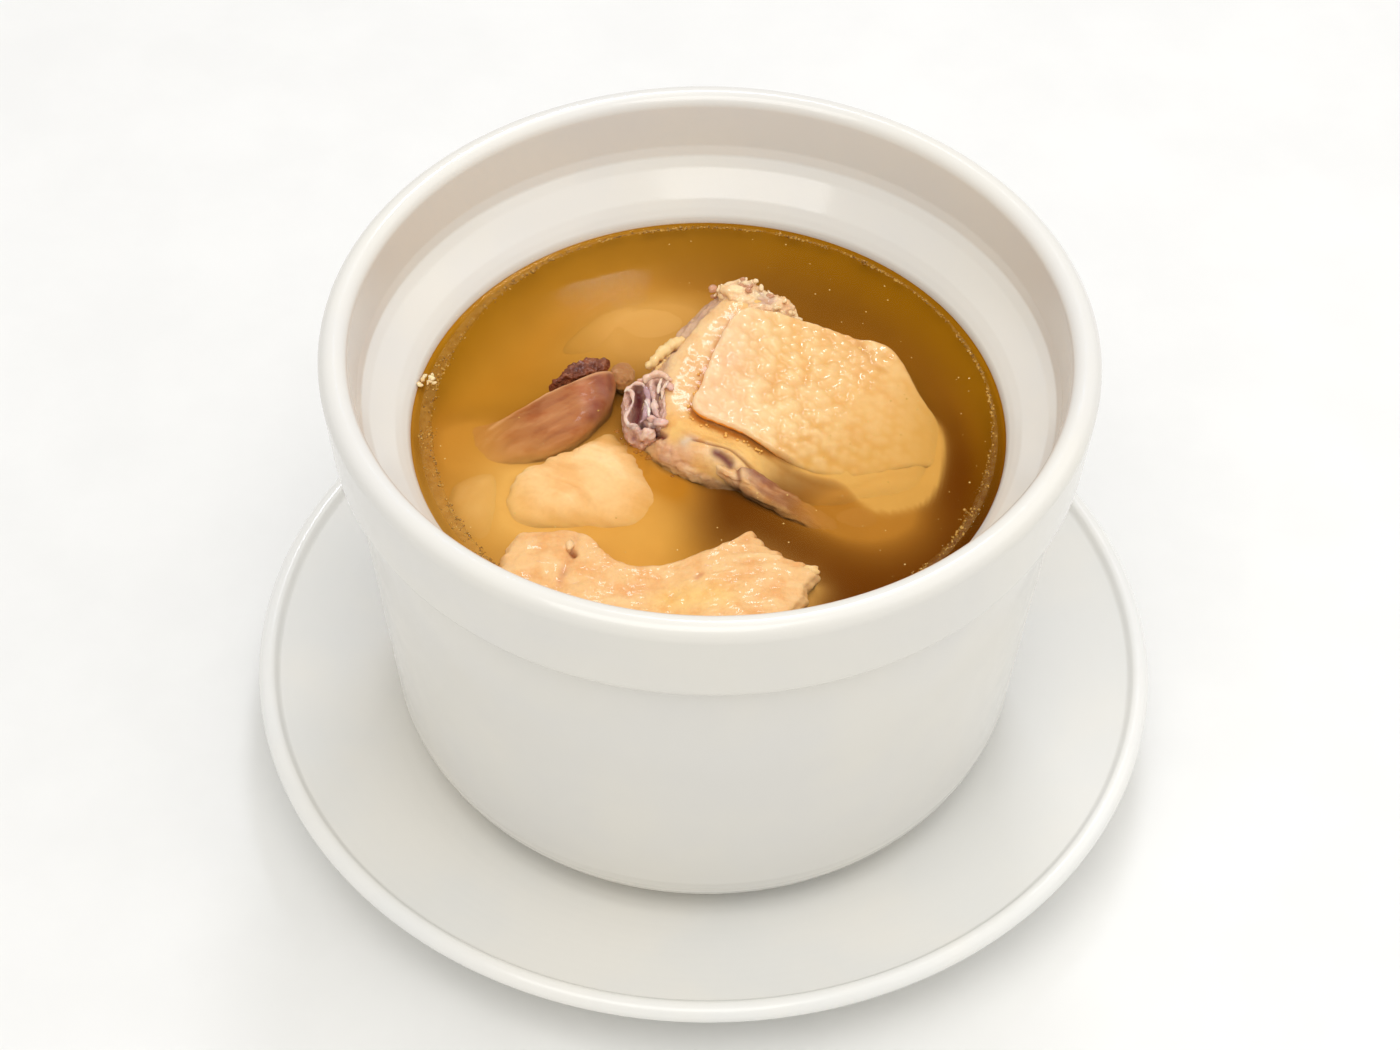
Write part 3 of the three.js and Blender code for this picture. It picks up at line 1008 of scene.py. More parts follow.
@dataclass(frozen=True)
class Broth:
    """The broth: its clear body with a low rise at the wall, its cloudy depth, and what floats on it."""

    pot: Pot
    haze: Haze
    into_wall: float = 0.35
    climb: float = 0.7
    climb_width: float = 1.0
    steps: int = 256
    bubbles: int = 2600
    specks: int = 120
    oil_drops: int = 14
    crumbs: int = 9

    def surface(self, radius: Array) -> Array:
        """Height of the surface at radii, above its level."""
        edge = self.pot.inner + self.into_wall
        return self.climb * np.exp((radius - edge) / self.climb_width)

    def body(self) -> None:
        """Builds the clear body, which reaches just into the wall."""
        edge = self.pot.inner + self.into_wall
        radii = edge - np.linspace(0, 5 * self.climb_width, 16)
        rise = [(r, BROTH_Z + h) for r, h in zip(radii, self.surface(radii))]
        profile = [*self.pot.hollow(self.into_wall)[::-1], *rise, (20, BROTH_Z), (0, BROTH_Z)]
        form = turned(np.array(profile), self.steps)
        make_piece("broth_body", form, Liquid().material(), ["broth"])

    def deep(self) -> None:
        """Builds the cloudy depth inside the body, which rises along the wall."""
        under = self.pot.hollow(0.1)[:0:-1]
        flat = BROTH_Z - self.haze.cover
        top = [(r, flat) for r in np.linspace(self.pot.inner + 0.05, 0.6, 84)]
        form = turned(np.array([*under, *top, (0, flat)]), self.steps)
        bed = form.points[:, 2] > flat - 0.01
        form.points[bed, 2] = BROTH_Z + self.haze.bed(form.points[bed, :2])
        make_piece("broth_depth", form, Depth().material(), haze=self.haze)

    def film_width(self, angle: Array) -> Array:
        """How wide the foam at the wall is.

        Args:
            angle: N angles round the pot in radians.

        Returns:
            N widths in mm.
        """
        left = np.exp(-(((np.cos(angle - math.radians(186)) - 1) / 0.3) ** 2))
        near = np.exp(-(((np.cos(angle - math.radians(-28)) - 1) / 0.1) ** 2))
        waver = Grain(32).layered(np.stack([np.cos(angle), np.sin(angle), 0 * angle], axis=1) * 9, 1.0)
        return 0.6 + 1.7 * left + 0.9 * near + 0.2 * waver

    def foam(self) -> None:
        """Builds the foam along the wall: a thin film and the small bubbles in it."""
        angle = np.linspace(0, 2 * math.pi, 720, endpoint=False)
        outer = self.pot.inner - 1.5
        width = self.film_width(angle)
        rings = []
        for share, over in ((0.0, 0.0), (0.1, 0.1), (0.5, 0.12), (0.9, 0.1), (1.0, 0.0), (0.5, -0.05), (0.0, 0.0)):
            radius = outer - share * width
            height = self.surface(radius) + over
            rings.append(np.stack([radius * np.cos(angle), radius * np.sin(angle), height], axis=1))
        count = len(angle)
        faces = [f[::-1] for f in grid_faces(len(rings), count)]
        film = Form(np.concatenate(rings), faces)
        finish = Fat("foam_film", tone(206, 160, 78), tone(140, 90, 20), clear=0.9, roughness=0.35, patch_size=0.9)
        make_piece("foam_film", film, finish.material(), lift=BROTH_Z)
        random = np.random.default_rng(33)
        spot = random.uniform(0, 2 * math.pi, self.bubbles)
        crowd = Grain(36).layered(np.stack([np.cos(spot), np.sin(spot), 0 * spot], axis=1) * 14, 1.0)
        spot = spot[crowd > random.uniform(-0.9, 0.5, self.bubbles)]
        share = np.where(random.random(len(spot)) < 0.6, random.normal(0.9, 0.2, len(spot)), random.random(len(spot)))
        radius = outer - 0.1 - np.clip(share, 0, 1.5) * (self.film_width(spot) - 0.1)
        centres = np.stack([radius * np.cos(spot), radius * np.sin(spot), self.surface(radius) + 0.02], axis=1)
        size = random.uniform(0.1, 0.26, len(spot)) + 0.18 * (random.random(len(spot)) < 0.08)
        foam = beads(centres, size, 0.7)
        finish = Fat("foam_bubbles", tone(232, 180, 84), tone(150, 96, 18), clear=0.45, roughness=0.16, patch_size=0.6)
        make_piece("foam_bubbles", foam, finish.material(), lift=BROTH_Z)

    def floating(self) -> None:
        """Builds the golden specks, the oil by the knuckle and the pale scrap at the wall."""
        random = np.random.default_rng(34)
        radius = 49 * np.sqrt(random.random(self.specks))
        angle = np.radians(random.normal(-10, 75, self.specks))
        centres = np.stack([radius * np.cos(angle), radius * np.sin(angle), np.full(self.specks, 0.01)], axis=1)
        specks = beads(centres, random.uniform(0.06, 0.2, self.specks), 0.5)
        finish = Fat("speck_fat", tone(252, 216, 132), tone(226, 176, 84), clear=0.25)
        make_piece("golden_specks", specks, finish.material(), lift=BROTH_Z)
        along = smooth_line([(-16.2, -1.0), (-15.2, -4.6), (-12.6, -7.4), (-9.4, -10.0), (-5.6, -13.2)], 40)
        count = self.oil_drops
        spot = along[(len(along) * random.random(count) ** 1.6).astype(int)] + random.normal(0, 0.4, (count, 2))
        centres = np.column_stack([spot, np.full(count, 0.01)])
        drops = beads(centres, random.uniform(0.15, 0.5, count), 0.3, sides=14)
        finish = Fat("amber_oil", tone(190, 118, 24), tone(150, 84, 12), clear=0.55, roughness=0.04)
        make_piece("oil_drops", drops, finish.material(), lift=BROTH_Z)
        grain = Grain(35)
        scrap = []
        for _ in range(self.crumbs):
            place = (-50.4 + random.normal(0, 0.7), 9.4 + random.normal(0, 0.8), 0.3)
            scrap.append(pebble(place, tuple(random.uniform(0.2, 0.6, 3)), grain, 0.5))
        form = joined(scrap).dyed(tone(246, 226, 180))
        make_piece("pale_scrap", form, Flesh("scrap_flesh").material(), lift=BROTH_Z, haze=self.haze)

    def build(self) -> None:
        """Builds all of it."""
        self.body()
        self.deep()
        self.foam()
        self.floating()


@dataclass(frozen=True, kw_only=True)
class Lump:
    """A piece of food: a smooth outline drawn in towards its middle, ring by ring, over a back."""

    name: str
    nodes: tuple[str, ...] = ()
    slot: Slot = Slot.PALE_MEAT
    finish: Flesh = Flesh("pale_flesh")
    centre: Pair
    corners: tuple[Pair, ...]
    section: tuple[Pair, ...]  # share of the way out, and drop below the back, from middle to underside
    corner: float = 1.2  # how widely the section is rounded, mm
    level: float = 0.0  # height of the back at the centre
    slope: Pair = (0.0, 0.0)  # its rise along X and Y
    bow: Pair = (0.0, 0.0)  # its fall with the square of the distance along X and Y
    tint: Triple = tone(248, 208, 146)
    streak_light: Triple = tone(254, 228, 176)
    streak_dark: Triple = tone(224, 168, 104)
    streak: float = 0.5
    fibre_turn: float = 0.0  # degrees
    fibre_size: Pair = (7.0, 1.2)  # length and width, mm
    fibre_depth: float = 0.18
    lump_size: float = 3.2
    lump_depth: float = 0.25
    traces: tuple[Trace, ...] = ()
    seed: int = 1
    steps: int = 260
    rings: int = 90

    def back(self, x: Array, y: Array) -> Array:
        """Height of the top above the broth at places in plan."""
        dx, dy = x - self.centre[0], y - self.centre[1]
        return (
            self.level + self.slope[0] * dx + self.slope[1] * dy - self.bow[0] * dx**2 - self.bow[1] * dy**2
        )

    def lean(self, x: Array, y: Array) -> Array:
        """How much of the section's drop counts at places in plan."""
        return np.ones_like(x)

    def ragged(self, outline: Array) -> Array:
        """How far each point of the outline is torn in or out, in mm."""
        return np.zeros(len(outline))

    def fibres(self, points: Array) -> Array:
        """Long wavy grain along the fibres.

        Args:
            points: N x 3 places in mm.

        Returns:
            N values, mostly from -1 to 1.
        """
        c, s = math.cos(math.radians(self.fibre_turn)), math.sin(math.radians(self.fibre_turn))
        turned_points = points @ np.array([[c, -s, 0], [s, c, 0], [0, 0, 1]])
        turned_points[:, 1] += 1.4 * Grain(self.seed + 200).layered(points, 9.0, 2)
        long, wide = self.fibre_size
        return Grain(self.seed).layered(turned_points, (long, wide, wide), 3)

    def relief(self, form: Form) -> Array:
        """Unevenness of the surface in mm, one number a point."""
        lumps = self.lump_depth * Grain(self.seed + 100).layered(form.points, self.lump_size, 3)
        return lumps + self.fibre_depth * self.fibres(form.points)

    def paint(self, form: Form) -> None:
        """Tints the form in lighter and darker streaks along the fibres.

        Args:
            form: what is tinted.
        """
        grain = self.fibres(form.points)
        form.tint[:] = self.tint
        form.dab(self.streak * smooth_step(0.1, 0.9, grain), self.streak_light)
        form.dab(self.streak * smooth_step(0.1, 0.9, -grain), self.streak_dark)

    def extras(self) -> list[Form]:
        """Small things that belong to the piece."""
        return []

    def form(self) -> Form:
        """Builds the mesh.

        Returns:
            The form, with heights above the broth.
        """
        reach = float(np.mean(np.linalg.norm(np.array(self.corners) - self.centre, axis=1)))
        line = rounded([(share * reach, drop) for share, drop in self.section], self.corner)
        along = np.concatenate([[0], np.cumsum(np.linalg.norm(np.diff(line, axis=0), axis=1))])
        wanted = np.linspace(0, along[-1], self.rings)
        share = np.interp(wanted, along, line[:, 0])[:, None] / reach
        drop = np.interp(wanted, along, line[:, 1])[:, None]
        outline = smooth_line(self.corners, self.steps, closed=True)
        area = np.cross(outline, np.roll(outline, -1, axis=0)).sum()
        torn = self.ragged(outline)[:, None]
        outline = outline - self.centre
        outline = outline * (1 + torn / np.linalg.norm(outline, axis=1, keepdims=True))
        outline = outline[::-1] if area > 0 else outline
        x = self.centre[0] + share * outline[:, 0]
        y = self.centre[1] + share * outline[:, 1]
        z = self.back(x, y) - drop * self.lean(x, y)
        first, last = ((*self.centre, float(ring.mean())) for ring in (z[0], z[-1]))
        form = capped(np.stack([x, y, z], axis=-1), first, last)
        sunk = sum((trace.depth * trace.at(form.points) for trace in self.traces), np.zeros(len(form.points)))
        form.push(self.relief(form) - sunk)
        return form

    def build(self, haze: Haze) -> bpy.types.Object:
        """Builds the piece.

        Args:
            haze: the cloudy broth that it stands in.

        Returns:
            The piece.
        """
        form = self.form()
        self.paint(form)
        for trace in self.traces:
            form.dab(trace.at(form.points), trace.colour)
        form = joined([form, *self.extras()])
        return make_piece(self.name, form, self.finish.material(), self.nodes, BROTH_Z, haze)


DARK_RED = tone(112, 44, 34)
PALE_RIDGE = tone(232, 198, 182)
AMBER = tone(190, 108, 26)


class Chop:
    """What the main piece's parts share: its sloping back and its skin's outline."""

    CENTRE = (16.0, 6.0)
    EDGE = 5.0
    DIP = 8.0
    DIP_LENGTH = 24.0
    BACK_LIFT = 0.09
    RIGHT_ROLL_X = 31.0
    NEAR_ROLL_Y = -4.0
    ROLL = 0.035
    SHELF = 1.9
    RIGHT_SHELF = 0.4
    SKIN_CORNERS = (
        (-2.8, -0.4), (5.7, -3.3), (14.6, -8.0), (24.7, -9.9), (37.4, -5.6), (42.0, -3.0), (42.0, 5.5),
        (37.8, 11.1), (32.6, 19.6), (26.2, 21.0), (10.3, 23.8), (5.5, 22.6), (2.5, 17.7), (-1.5, 5.5),
    )

    @classmethod
    def skin_height(cls, x: Array, y: Array) -> Array:
        """Height of the skin's top.

        Args:
            x: places along X in mm.
            y: places along Y in mm.

        Returns:
            Heights above the broth in mm.
        """
        from_edge = np.maximum(0, 0.95 * (x + 2.8) - 0.313 * (y + 1.4))
        dip = cls.DIP * (1 - np.exp(-from_edge / cls.DIP_LENGTH))
        roll = cls.ROLL * np.maximum(0, x - cls.RIGHT_ROLL_X) ** 2
        near = cls.ROLL * np.maximum(0, cls.NEAR_ROLL_Y - y) ** 2 * np.clip(x / 20, 0, 1)
        return cls.EDGE - dip - roll - near + cls.BACK_LIFT * (y - 8)

    @classmethod
    def shelf(cls, x: Array) -> Array:
        """How far the fat's top is below the skin's."""
        return cls.SHELF + (cls.RIGHT_SHELF - cls.SHELF) * smooth_step(8, 24, x)

    @classmethod
    def seam(cls, points: Array, width: float) -> Array:
        """How close places are to the skin's outline in plan, from 0 to 1."""
        outline = smooth_line(cls.SKIN_CORNERS, 160, closed=True)
        return np.exp(-((reach_from(np.vstack([outline, outline[:1]]), points[:, :2]) / width) ** 2))


@dataclass(frozen=True, kw_only=True)
class ThighSkin(Lump):
    """The slab of skin: rows of pimples where feathers were, faint creases and a browned cut edge."""

    name: str = "pimpled_skin"
    nodes: tuple[str, ...] = ("thigh_skin",)
    slot: Slot = Slot.SKIN
    finish: Flesh = Flesh(
        "wet_skin", mottle=0.25, mottle_size=6, grain=0.03, grain_size=0.7, fleck=0.03, roughness=(0.2, 0.34), coat=0.8,
        reach=2.8,
    )
    centre: Pair = Chop.CENTRE
    corners: tuple[Pair, ...] = Chop.SKIN_CORNERS
    section: tuple[Pair, ...] = ((0.02, 0), (0.75, 0), (0.97, 0.05), (1.0, 0.5), (1.0, 1.2), (0.97, 1.6), (0.5, 1.6))
    corner: float = 0.4
    steps: int = 420
    rings: int = 130
    pimple_gap: float = 2.1
    pimple_height: float = 0.54
    pimple_width: float = 0.7
    rows_turn: float = 24.0  # degrees
    creases: tuple[Trace, ...] = (
        Trace(((15.0, 22.0), (15.8, 19.1), (16.6, 14.4), (17.6, 10.0)), 0.9, 0.45, tone(232, 168, 84), 0.3),
        Trace(((13.3, 15.4), (12.7, 12.0), (12.5, 8.0)), 0.9, 0.4, tone(232, 168, 84), 0.25),
        Trace(((20.4, 19.0), (21.0, 15.0), (20.4, 11.0)), 0.9, 0.3, tone(232, 168, 84), 0.2),
        Trace(((26.4, 21.2), (28.0, 17.7), (30.0, 14.8), (31.6, 13.7)), 0.7, 0.5, tone(206, 144, 66), 0.4),
        Trace(((26.8, 19.4), (29.6, 17.4), (33.0, 17.0)), 0.6, 0.3, tone(206, 144, 66), 0.3),
        Trace(((2.6, 10.1), (4.6, 11.6)), 1.0, 0.35, tone(236, 170, 130), 0.0),
    )

    def pimples(self, x: Array, y: Array) -> Array:
        """How far into a pimple places are.

        Args:
            x: places along X in mm.
            y: places along Y in mm.

        Returns:
            Shares from 0 to about 1.
        """
        random = np.random.default_rng(4)
        gap = self.pimple_gap
        i, j = np.meshgrid(np.arange(-22, 23), np.arange(-22, 23))
        u, v = gap * (i + 0.5 * (j % 2)).ravel(), gap * 0.87 * j.ravel()
        turn = math.radians(self.rows_turn)
        cx = 18 + u * math.cos(turn) - v * math.sin(turn) + random.normal(0, 0.1 * gap, u.size)
        cy = 6 + u * math.sin(turn) + v * math.cos(turn) + random.normal(0, 0.1 * gap, u.size)
        size = random.uniform(0.75, 1.1, u.size)
        near = (cx > -4) & (cx < 44) & (cy > -12) & (cy < 26)
        total = np.zeros(x.shape)
        for px, py, share in zip(cx[near], cy[near], size[near]):
            reach = ((x - px) ** 2 + (y - py) ** 2) / (self.pimple_width * share) ** 2
            total += np.where(reach < 9, share * np.exp(-reach / 2), 0)
        return total

    def back(self, x: Array, y: Array) -> Array:
        """Height of the skin, with its pimples and creases.

        Args:
            x: places along X in mm.
            y: places along Y in mm.

        Returns:
            Heights above the broth in mm.
        """
        place = np.stack([x.ravel(), y.ravel(), np.zeros(x.size)], axis=1)
        bumps = self.pimple_height * (1 - 0.6 * smooth_step(20, 34, x)) * self.pimples(x, y)
        swell = 0.35 * Grain(8).layered(place, 9.0, 2)
        dents = sum(crease.depth * crease.at(place) for crease in self.creases)
        return Chop.skin_height(x, y) + bumps + (swell - dents).reshape(x.shape)

    def relief(self, form: Form) -> Array:
        """Small unevenness."""
        return 0.04 * Grain(9).layered(form.points, 1.6, 3)

    def paint(self, form: Form) -> None:
        """Tints the skin: cream, yellower between the pimples, browned along the cut edge.

        Args:
            form: what is tinted.
        """
        x, y, z = form.points.T
        form.tint[:] = tone(226, 172, 98)
        form.dab(0.4 * smooth_step(-0.1, 0.9, Grain(10).layered(form.points, 8.0, 2)), tone(236, 188, 122))
        form.dab(0.6 * smooth_step(6, 16, x) * (1 - smooth_step(-6, 6, y)), tone(212, 158, 80))
        raised = smooth_step(0.0, 1.0, self.pimples(x, y))
        form.dab((0.65 - 0.35 * smooth_step(14, 28, x)) * raised, tone(246, 212, 154))
        form.dab(0.45 * (1 - smooth_step(0, 14, x)), tone(250, 216, 184))
        for crease in self.creases:
            form.dab(crease.at(form.points), crease.colour)
        low = z < Chop.skin_height(x, y) - 0.35
        left = 1 - smooth_step(8, 16, x)
        form.dab(Chop.seam(form.points, 0.6) * low * (0.1 + 0.9 * left), tone(236, 150, 44))


@dataclass(frozen=True, kw_only=True)
class ThighMeat(Lump):
    """The main piece's body: a shelf of pale fat, fibrous cut sides and a lobe folded under."""

    name: str = "chopped_thigh"
    nodes: tuple[str, ...] = ("thigh_meat",)
    finish: Flesh = Flesh("thigh_flesh", mottle=0.4, mottle_size=4.5, grain=0.1, grain_size=0.9, reach=2.4)
    centre: Pair = Chop.CENTRE
    corners: tuple[Pair, ...] = (
        (-12.0, -2.0), (-9.5, -7.0), (-5.0, -10.4), (4.5, -14.0), (20.0, -19.5), (30.0, -16.5), (40.0, -13.5),
        (43.4, -4.0), (43.2, 5.8), (38.5, 12.4), (33.2, 20.4), (26.0, 22.0), (15.4, 25.2), (12.4, 29.4),
        (3.4, 32.2), (-5.6, 23.0), (-10.6, 13.0), (-12.6, 5.0),
    )
    section: tuple[Pair, ...] = (
        (0.3, 0.6), (0.74, 0.1), (0.8, 0.0), (0.85, 0.5), (0.93, 2.0), (1.0, 4.2), (1.0, 7.0), (0.94, 12.0),
        (0.8, 17.0), (0.4, 19.0),
    )
    steps: int = 520
    rings: int = 170
    fibre_turn: float = 57.0
    fibre_size: Pair = (7.0, 0.9)
    traces: tuple[Trace, ...] = (
        Trace(((7.3, -4.5), (10.9, -7.4), (14.5, -9.6), (18.6, -11.2), (24.6, -12.2), (29.5, -9.9), (36.0, -7.8)),
              0.6, 0.4, tone(206, 146, 66), 0.35),
        Trace(((-4.0, -7.2, 1.8), (-3.1, -6.6, 1.8)), 1.3, 0.75, tone(196, 186, 176)),
        Trace(((-2.2, -8.6), (2.0, -9.8), (6.0, -11.6)), 1.5, 0.75, tone(240, 204, 156)),
        Trace(((1.3, -9.2), (2.6, -9.7), (3.9, -10.4)), 0.8, 1.0, tone(118, 60, 48), 0.4),
        Trace(((-2.4, -6.6), (0.6, -7.6), (3.8, -7.9), (5.6, -9.1), (10.2, -12.6)),
              0.42, 0.85, tone(150, 92, 48), 0.45),
        Trace(((-8.4, -6.4), (-5.6, -8.2), (-3.6, -9.4)), 1.2, 0.6, tone(226, 176, 144)),
        Trace(((-7.7, -1.1, 3.0), (-5.9, -3.5, 3.0), (-3.7, -5.3, 3.0), (-1.5, -6.4, 2.8)), 0.6, 0.75, AMBER, 0.15),
        Trace(((-9.8, -2.8), (-7.8, -4.6)), 0.5, 1.0, DARK_RED, 0.7),
    )
    wet_edge: tuple[Pair, ...] = (
        (-1.2, 9.4), (-2.2, 5.4), (-3.6, -0.2), (-2.4, -1.8), (2.0, -3.2), (6.4, -4.8), (9.6, -6.6)
    )
    drops: int = 34

    def back(self, x: Array, y: Array) -> Array:
        """Height of the fat, with the near side's swell and the lobe under the skin's near edge.

        Args:
            x: places along X in mm.
            y: places along Y in mm.

        Returns:
            Heights above the broth in mm.
        """
        swell = 3.1 * np.exp(-(((x - 1) / 10) ** 2) - ((y + 9.8) / 4.4) ** 2)
        lobe = 1.6 * np.exp(-(((x - 27) / 16) ** 2) - ((y + 14) / 5) ** 2)
        return Chop.skin_height(x, y) - Chop.shelf(x) + swell + lobe

    def lean(self, x: Array, y: Array) -> Array:
        """The sides fall away less steeply towards the right end."""
        return np.clip((26 - x) / 22, 0.45, 1)

    def side(self, points: Array) -> Array:
        """Share by which places lie on the cut sides at the left and the near left.

        Args:
            points: N x 3 places in mm.

        Returns:
            N shares from 0 to 1.
        """
        x, y, z = points.T
        fall = Chop.skin_height(x, y) - Chop.shelf(x) - z
        return smooth_step(0.3, 1.3, fall) * (1 - smooth_step(14, 24, x))

    def relief(self, form: Form) -> Array:
        """Soft lumps in the fat and long fibres on the cut sides.

        Args:
            form: the piece before it gets them.

        Returns:
            How far each point moves out, in mm.
        """
        fat = 0.16 * Grain(11).layered(form.points, 3.2, 3)
        side = self.side(form.points)
        cut = 0.42 * self.fibres(form.points) + 0.22 * Grain(13).layered(form.points, 1.3, 2)
        return fat * (1 - side) + cut * side

    def paint(self, form: Form) -> None:
        """Tints the meat: cream fat, grey-pink cut sides, and wet brown along the skin's edge.

        Args:
            form: what is tinted.
        """
        x, y, _ = form.points.T
        side = self.side(form.points)
        streak = Grain(14).layered(form.points, (2.0, 2.0, 0.7), 3)
        form.tint[:] = tone(238, 189, 112)
        form.dab(side, tone(230, 186, 142))
        form.dab(side * smooth_step(0.1, 0.8, streak), tone(190, 142, 114))
        form.dab(side * smooth_step(0.3, 0.9, -streak), tone(250, 218, 176))
        left = smooth_step(6, 13, y) * (1 - smooth_step(6, 12, x))
        form.dab(0.6 * side * left, tone(190, 156, 132))
        form.dab(0.7 * (1 - side) * (1 - smooth_step(2, 10, x)) * smooth_step(-3, 3, y), tone(238, 202, 154))
        form.dab(0.9 * Chop.seam(form.points, 0.8) * (1 - smooth_step(9, 17, x)), tone(204, 126, 36))

    def extras(self) -> list[Form]:
        """Builds drops of amber juice along the skin's left and near edge.

        Returns:
            One form with all of them.
        """
        random = np.random.default_rng(15)
        edge = smooth_line(self.wet_edge, 60)
        spot = edge[random.integers(0, len(edge), self.drops)] + random.normal(0, 0.22, (self.drops, 2))
        height = self.back(*spot.T) + 0.05
        drops = beads(np.column_stack([spot, height]), random.uniform(0.12, 0.34, self.drops), 0.6, 10)
        return [drops.dyed(tone(248, 188, 96))]


@dataclass(frozen=True, kw_only=True)
class Knuckle(Lump):
    """The opened joint at the near left corner: a dark hollow between curled pale ridges."""

    name: str = "curled_knuckle"
    nodes: tuple[str, ...] = ("thigh_knuckle",)
    slot: Slot = Slot.CARTILAGE
    finish: Flesh = Flesh("wet_gristle", mottle=0.3, grain=0.06, roughness=(0.16, 0.3), coat=0.8, glow=0.3)
    centre: Pair = (-11.6, 2.6)
    corners: tuple[Pair, ...] = (
        (-14.8, 6.8), (-15.3, 2.0), (-14.0, -3.0), (-10.0, -4.6), (-7.6, -1.5), (-7.6, 3.0), (-7.6, 8.4), (-11.0, 8.6)
    )
    section: tuple[Pair, ...] = ((0.2, 1.2), (0.7, 0.6), (0.92, 0.3), (1.0, 1.6), (1.0, 4.5), (0.8, 7.5))
    corner: float = 0.5
    level: float = 2.4
    slope: Pair = (0.14, 0.06)
    tint: Triple = tone(212, 170, 152)
    streak_light: Triple = tone(242, 210, 188)
    streak_dark: Triple = tone(162, 116, 116)
    streak: float = 0.8
    fibre_size: Pair = (2.4, 0.9)
    fibre_turn: float = 75.0
    fibre_depth: float = 0.3
    lump_size: float = 1.5
    lump_depth: float = 0.3
    seed: int = 21
    # The first mark is the hollow's dark purple and the second a lilac streak; the third and fourth, in the curls, and
    # the fifth, the near-black gap between the blobs at the near side, are painted shade in holes; the last is the red
    # slot.
    traces: tuple[Trace, ...] = (
        Trace(((-12.6, 6.2), (-12.4, 4.2), (-12.5, 1.6), (-13.0, -0.8)), 0.95, 1.0, tone(112, 44, 50), 1.7),
        Trace(((-10.2, 4.8), (-10.1, 0.8)), 0.45, 0.8, tone(142, 104, 116), 0.6),
        Trace(((-9.3, 7.0), (-8.8, 6.2)), 0.45, 0.9, tone(104, 54, 56), 0.9),
        Trace(((-8.8, 4.6), (-8.8, 3.4)), 0.35, 0.8, tone(128, 80, 76), 0.5),
        Trace(((-12.0, -1.8), (-11.2, -2.7)), 0.5, 0.95, tone(64, 28, 22), 1.0),
        Trace(((-9.9, -3.0), (-8.0, -4.4)), 0.5, 1.0, tone(96, 28, 20), 0.7),
    )
    ridges: tuple[tuple[tuple[Triple, ...], float, Triple], ...] = (
        (((-15.0, 5.4, 2.1), (-13.9, 5.0, 2.5), (-13.5, 3.5, 2.5), (-13.5, 2.0, 2.4), (-14.3, 0.2, 2.1),
          (-14.7, -1.2, 1.7), (-13.9, -2.6, 1.5), (-12.5, -2.6, 1.7)), 0.36, PALE_RIDGE),
        (((-15.1, 5.0, 2.2), (-13.2, 6.5, 2.7), (-11.9, 6.2, 3.0), (-11.5, 5.2, 3.1)), 0.34, PALE_RIDGE),
        (((-11.6, 5.6, 2.9), (-10.8, 3.5, 3.0), (-10.9, 1.1, 2.8), (-11.4, -1.3, 2.3), (-12.2, -2.2, 1.8)), 0.55,
         tone(184, 146, 150)),
        (((-11.3, 2.0, 3.2), (-10.7, 0.2, 3.1), (-10.5, -1.6, 2.8)), 0.26, tone(244, 222, 206)),
        (((-10.4, 5.4, 3.0), (-9.7, 2.4, 3.1), (-9.3, -0.5, 2.9), (-8.6, -1.9, 2.6)), 0.55, tone(206, 168, 158)),
        (((-11.5, 6.6, 2.8), (-10.9, 8.0, 3.0), (-9.0, 8.6, 3.2), (-7.5, 7.4, 3.5), (-6.7, 6.6, 3.6)), 0.6,
         tone(236, 202, 180)),
        (((-8.4, 7.6, 3.4), (-8.9, 5.4, 3.5), (-9.0, 3.4, 3.4)), 0.3, tone(240, 212, 190)),
        (((-7.2, 6.6, 3.6), (-8.1, 4.6, 3.6), (-8.4, 2.0, 3.5)), 0.36, tone(232, 196, 172)),
    )
    blobs: tuple[tuple[Triple, Triple], ...] = (
        ((-10.0, -1.6, 2.3), (1.0, 0.8, 0.7)), ((-8.5, -2.4, 2.3), (1.2, 0.8, 0.6)),
        ((-13.5, -2.5, 1.3), (0.9, 0.7, 0.6)), ((-12.2, 7.4, 2.6), (0.7, 0.6, 0.5)),
        ((-6.9, 5.4, 3.4), (0.7, 1.0, 0.5)),
    )

    def extras(self) -> list[Form]:
        """Builds the curled rims and ridges, and the soft ends of the sinews.

        Returns:
            One form for each.
        """
        grain = Grain(22)
        forms = []
        for path, thick, colour in self.ridges:
            ridge = strand(path, tuple(thick * share for share in (0.7, 1.1, 0.8, 1.2, 0.95, 0.6)), 12, 48)
            ridge.push(0.5 * thick * grain.layered(ridge.points, 1.1, 2))
            forms.append(ridge.dyed(colour))
        for place, size in self.blobs:
            forms.append(pebble(place, size, grain, 0.4, 20).dyed(tone(226, 182, 166)))
        for form in forms:
            form.dab(0.6 * smooth_step(0.1, 0.8, grain.layered(form.points, 1.6, 2)), tone(248, 222, 202))
            form.dab(0.5 * smooth_step(0.2, 0.9, -grain.layered(form.points, 1.4, 2)), tone(166, 118, 116))
        return forms


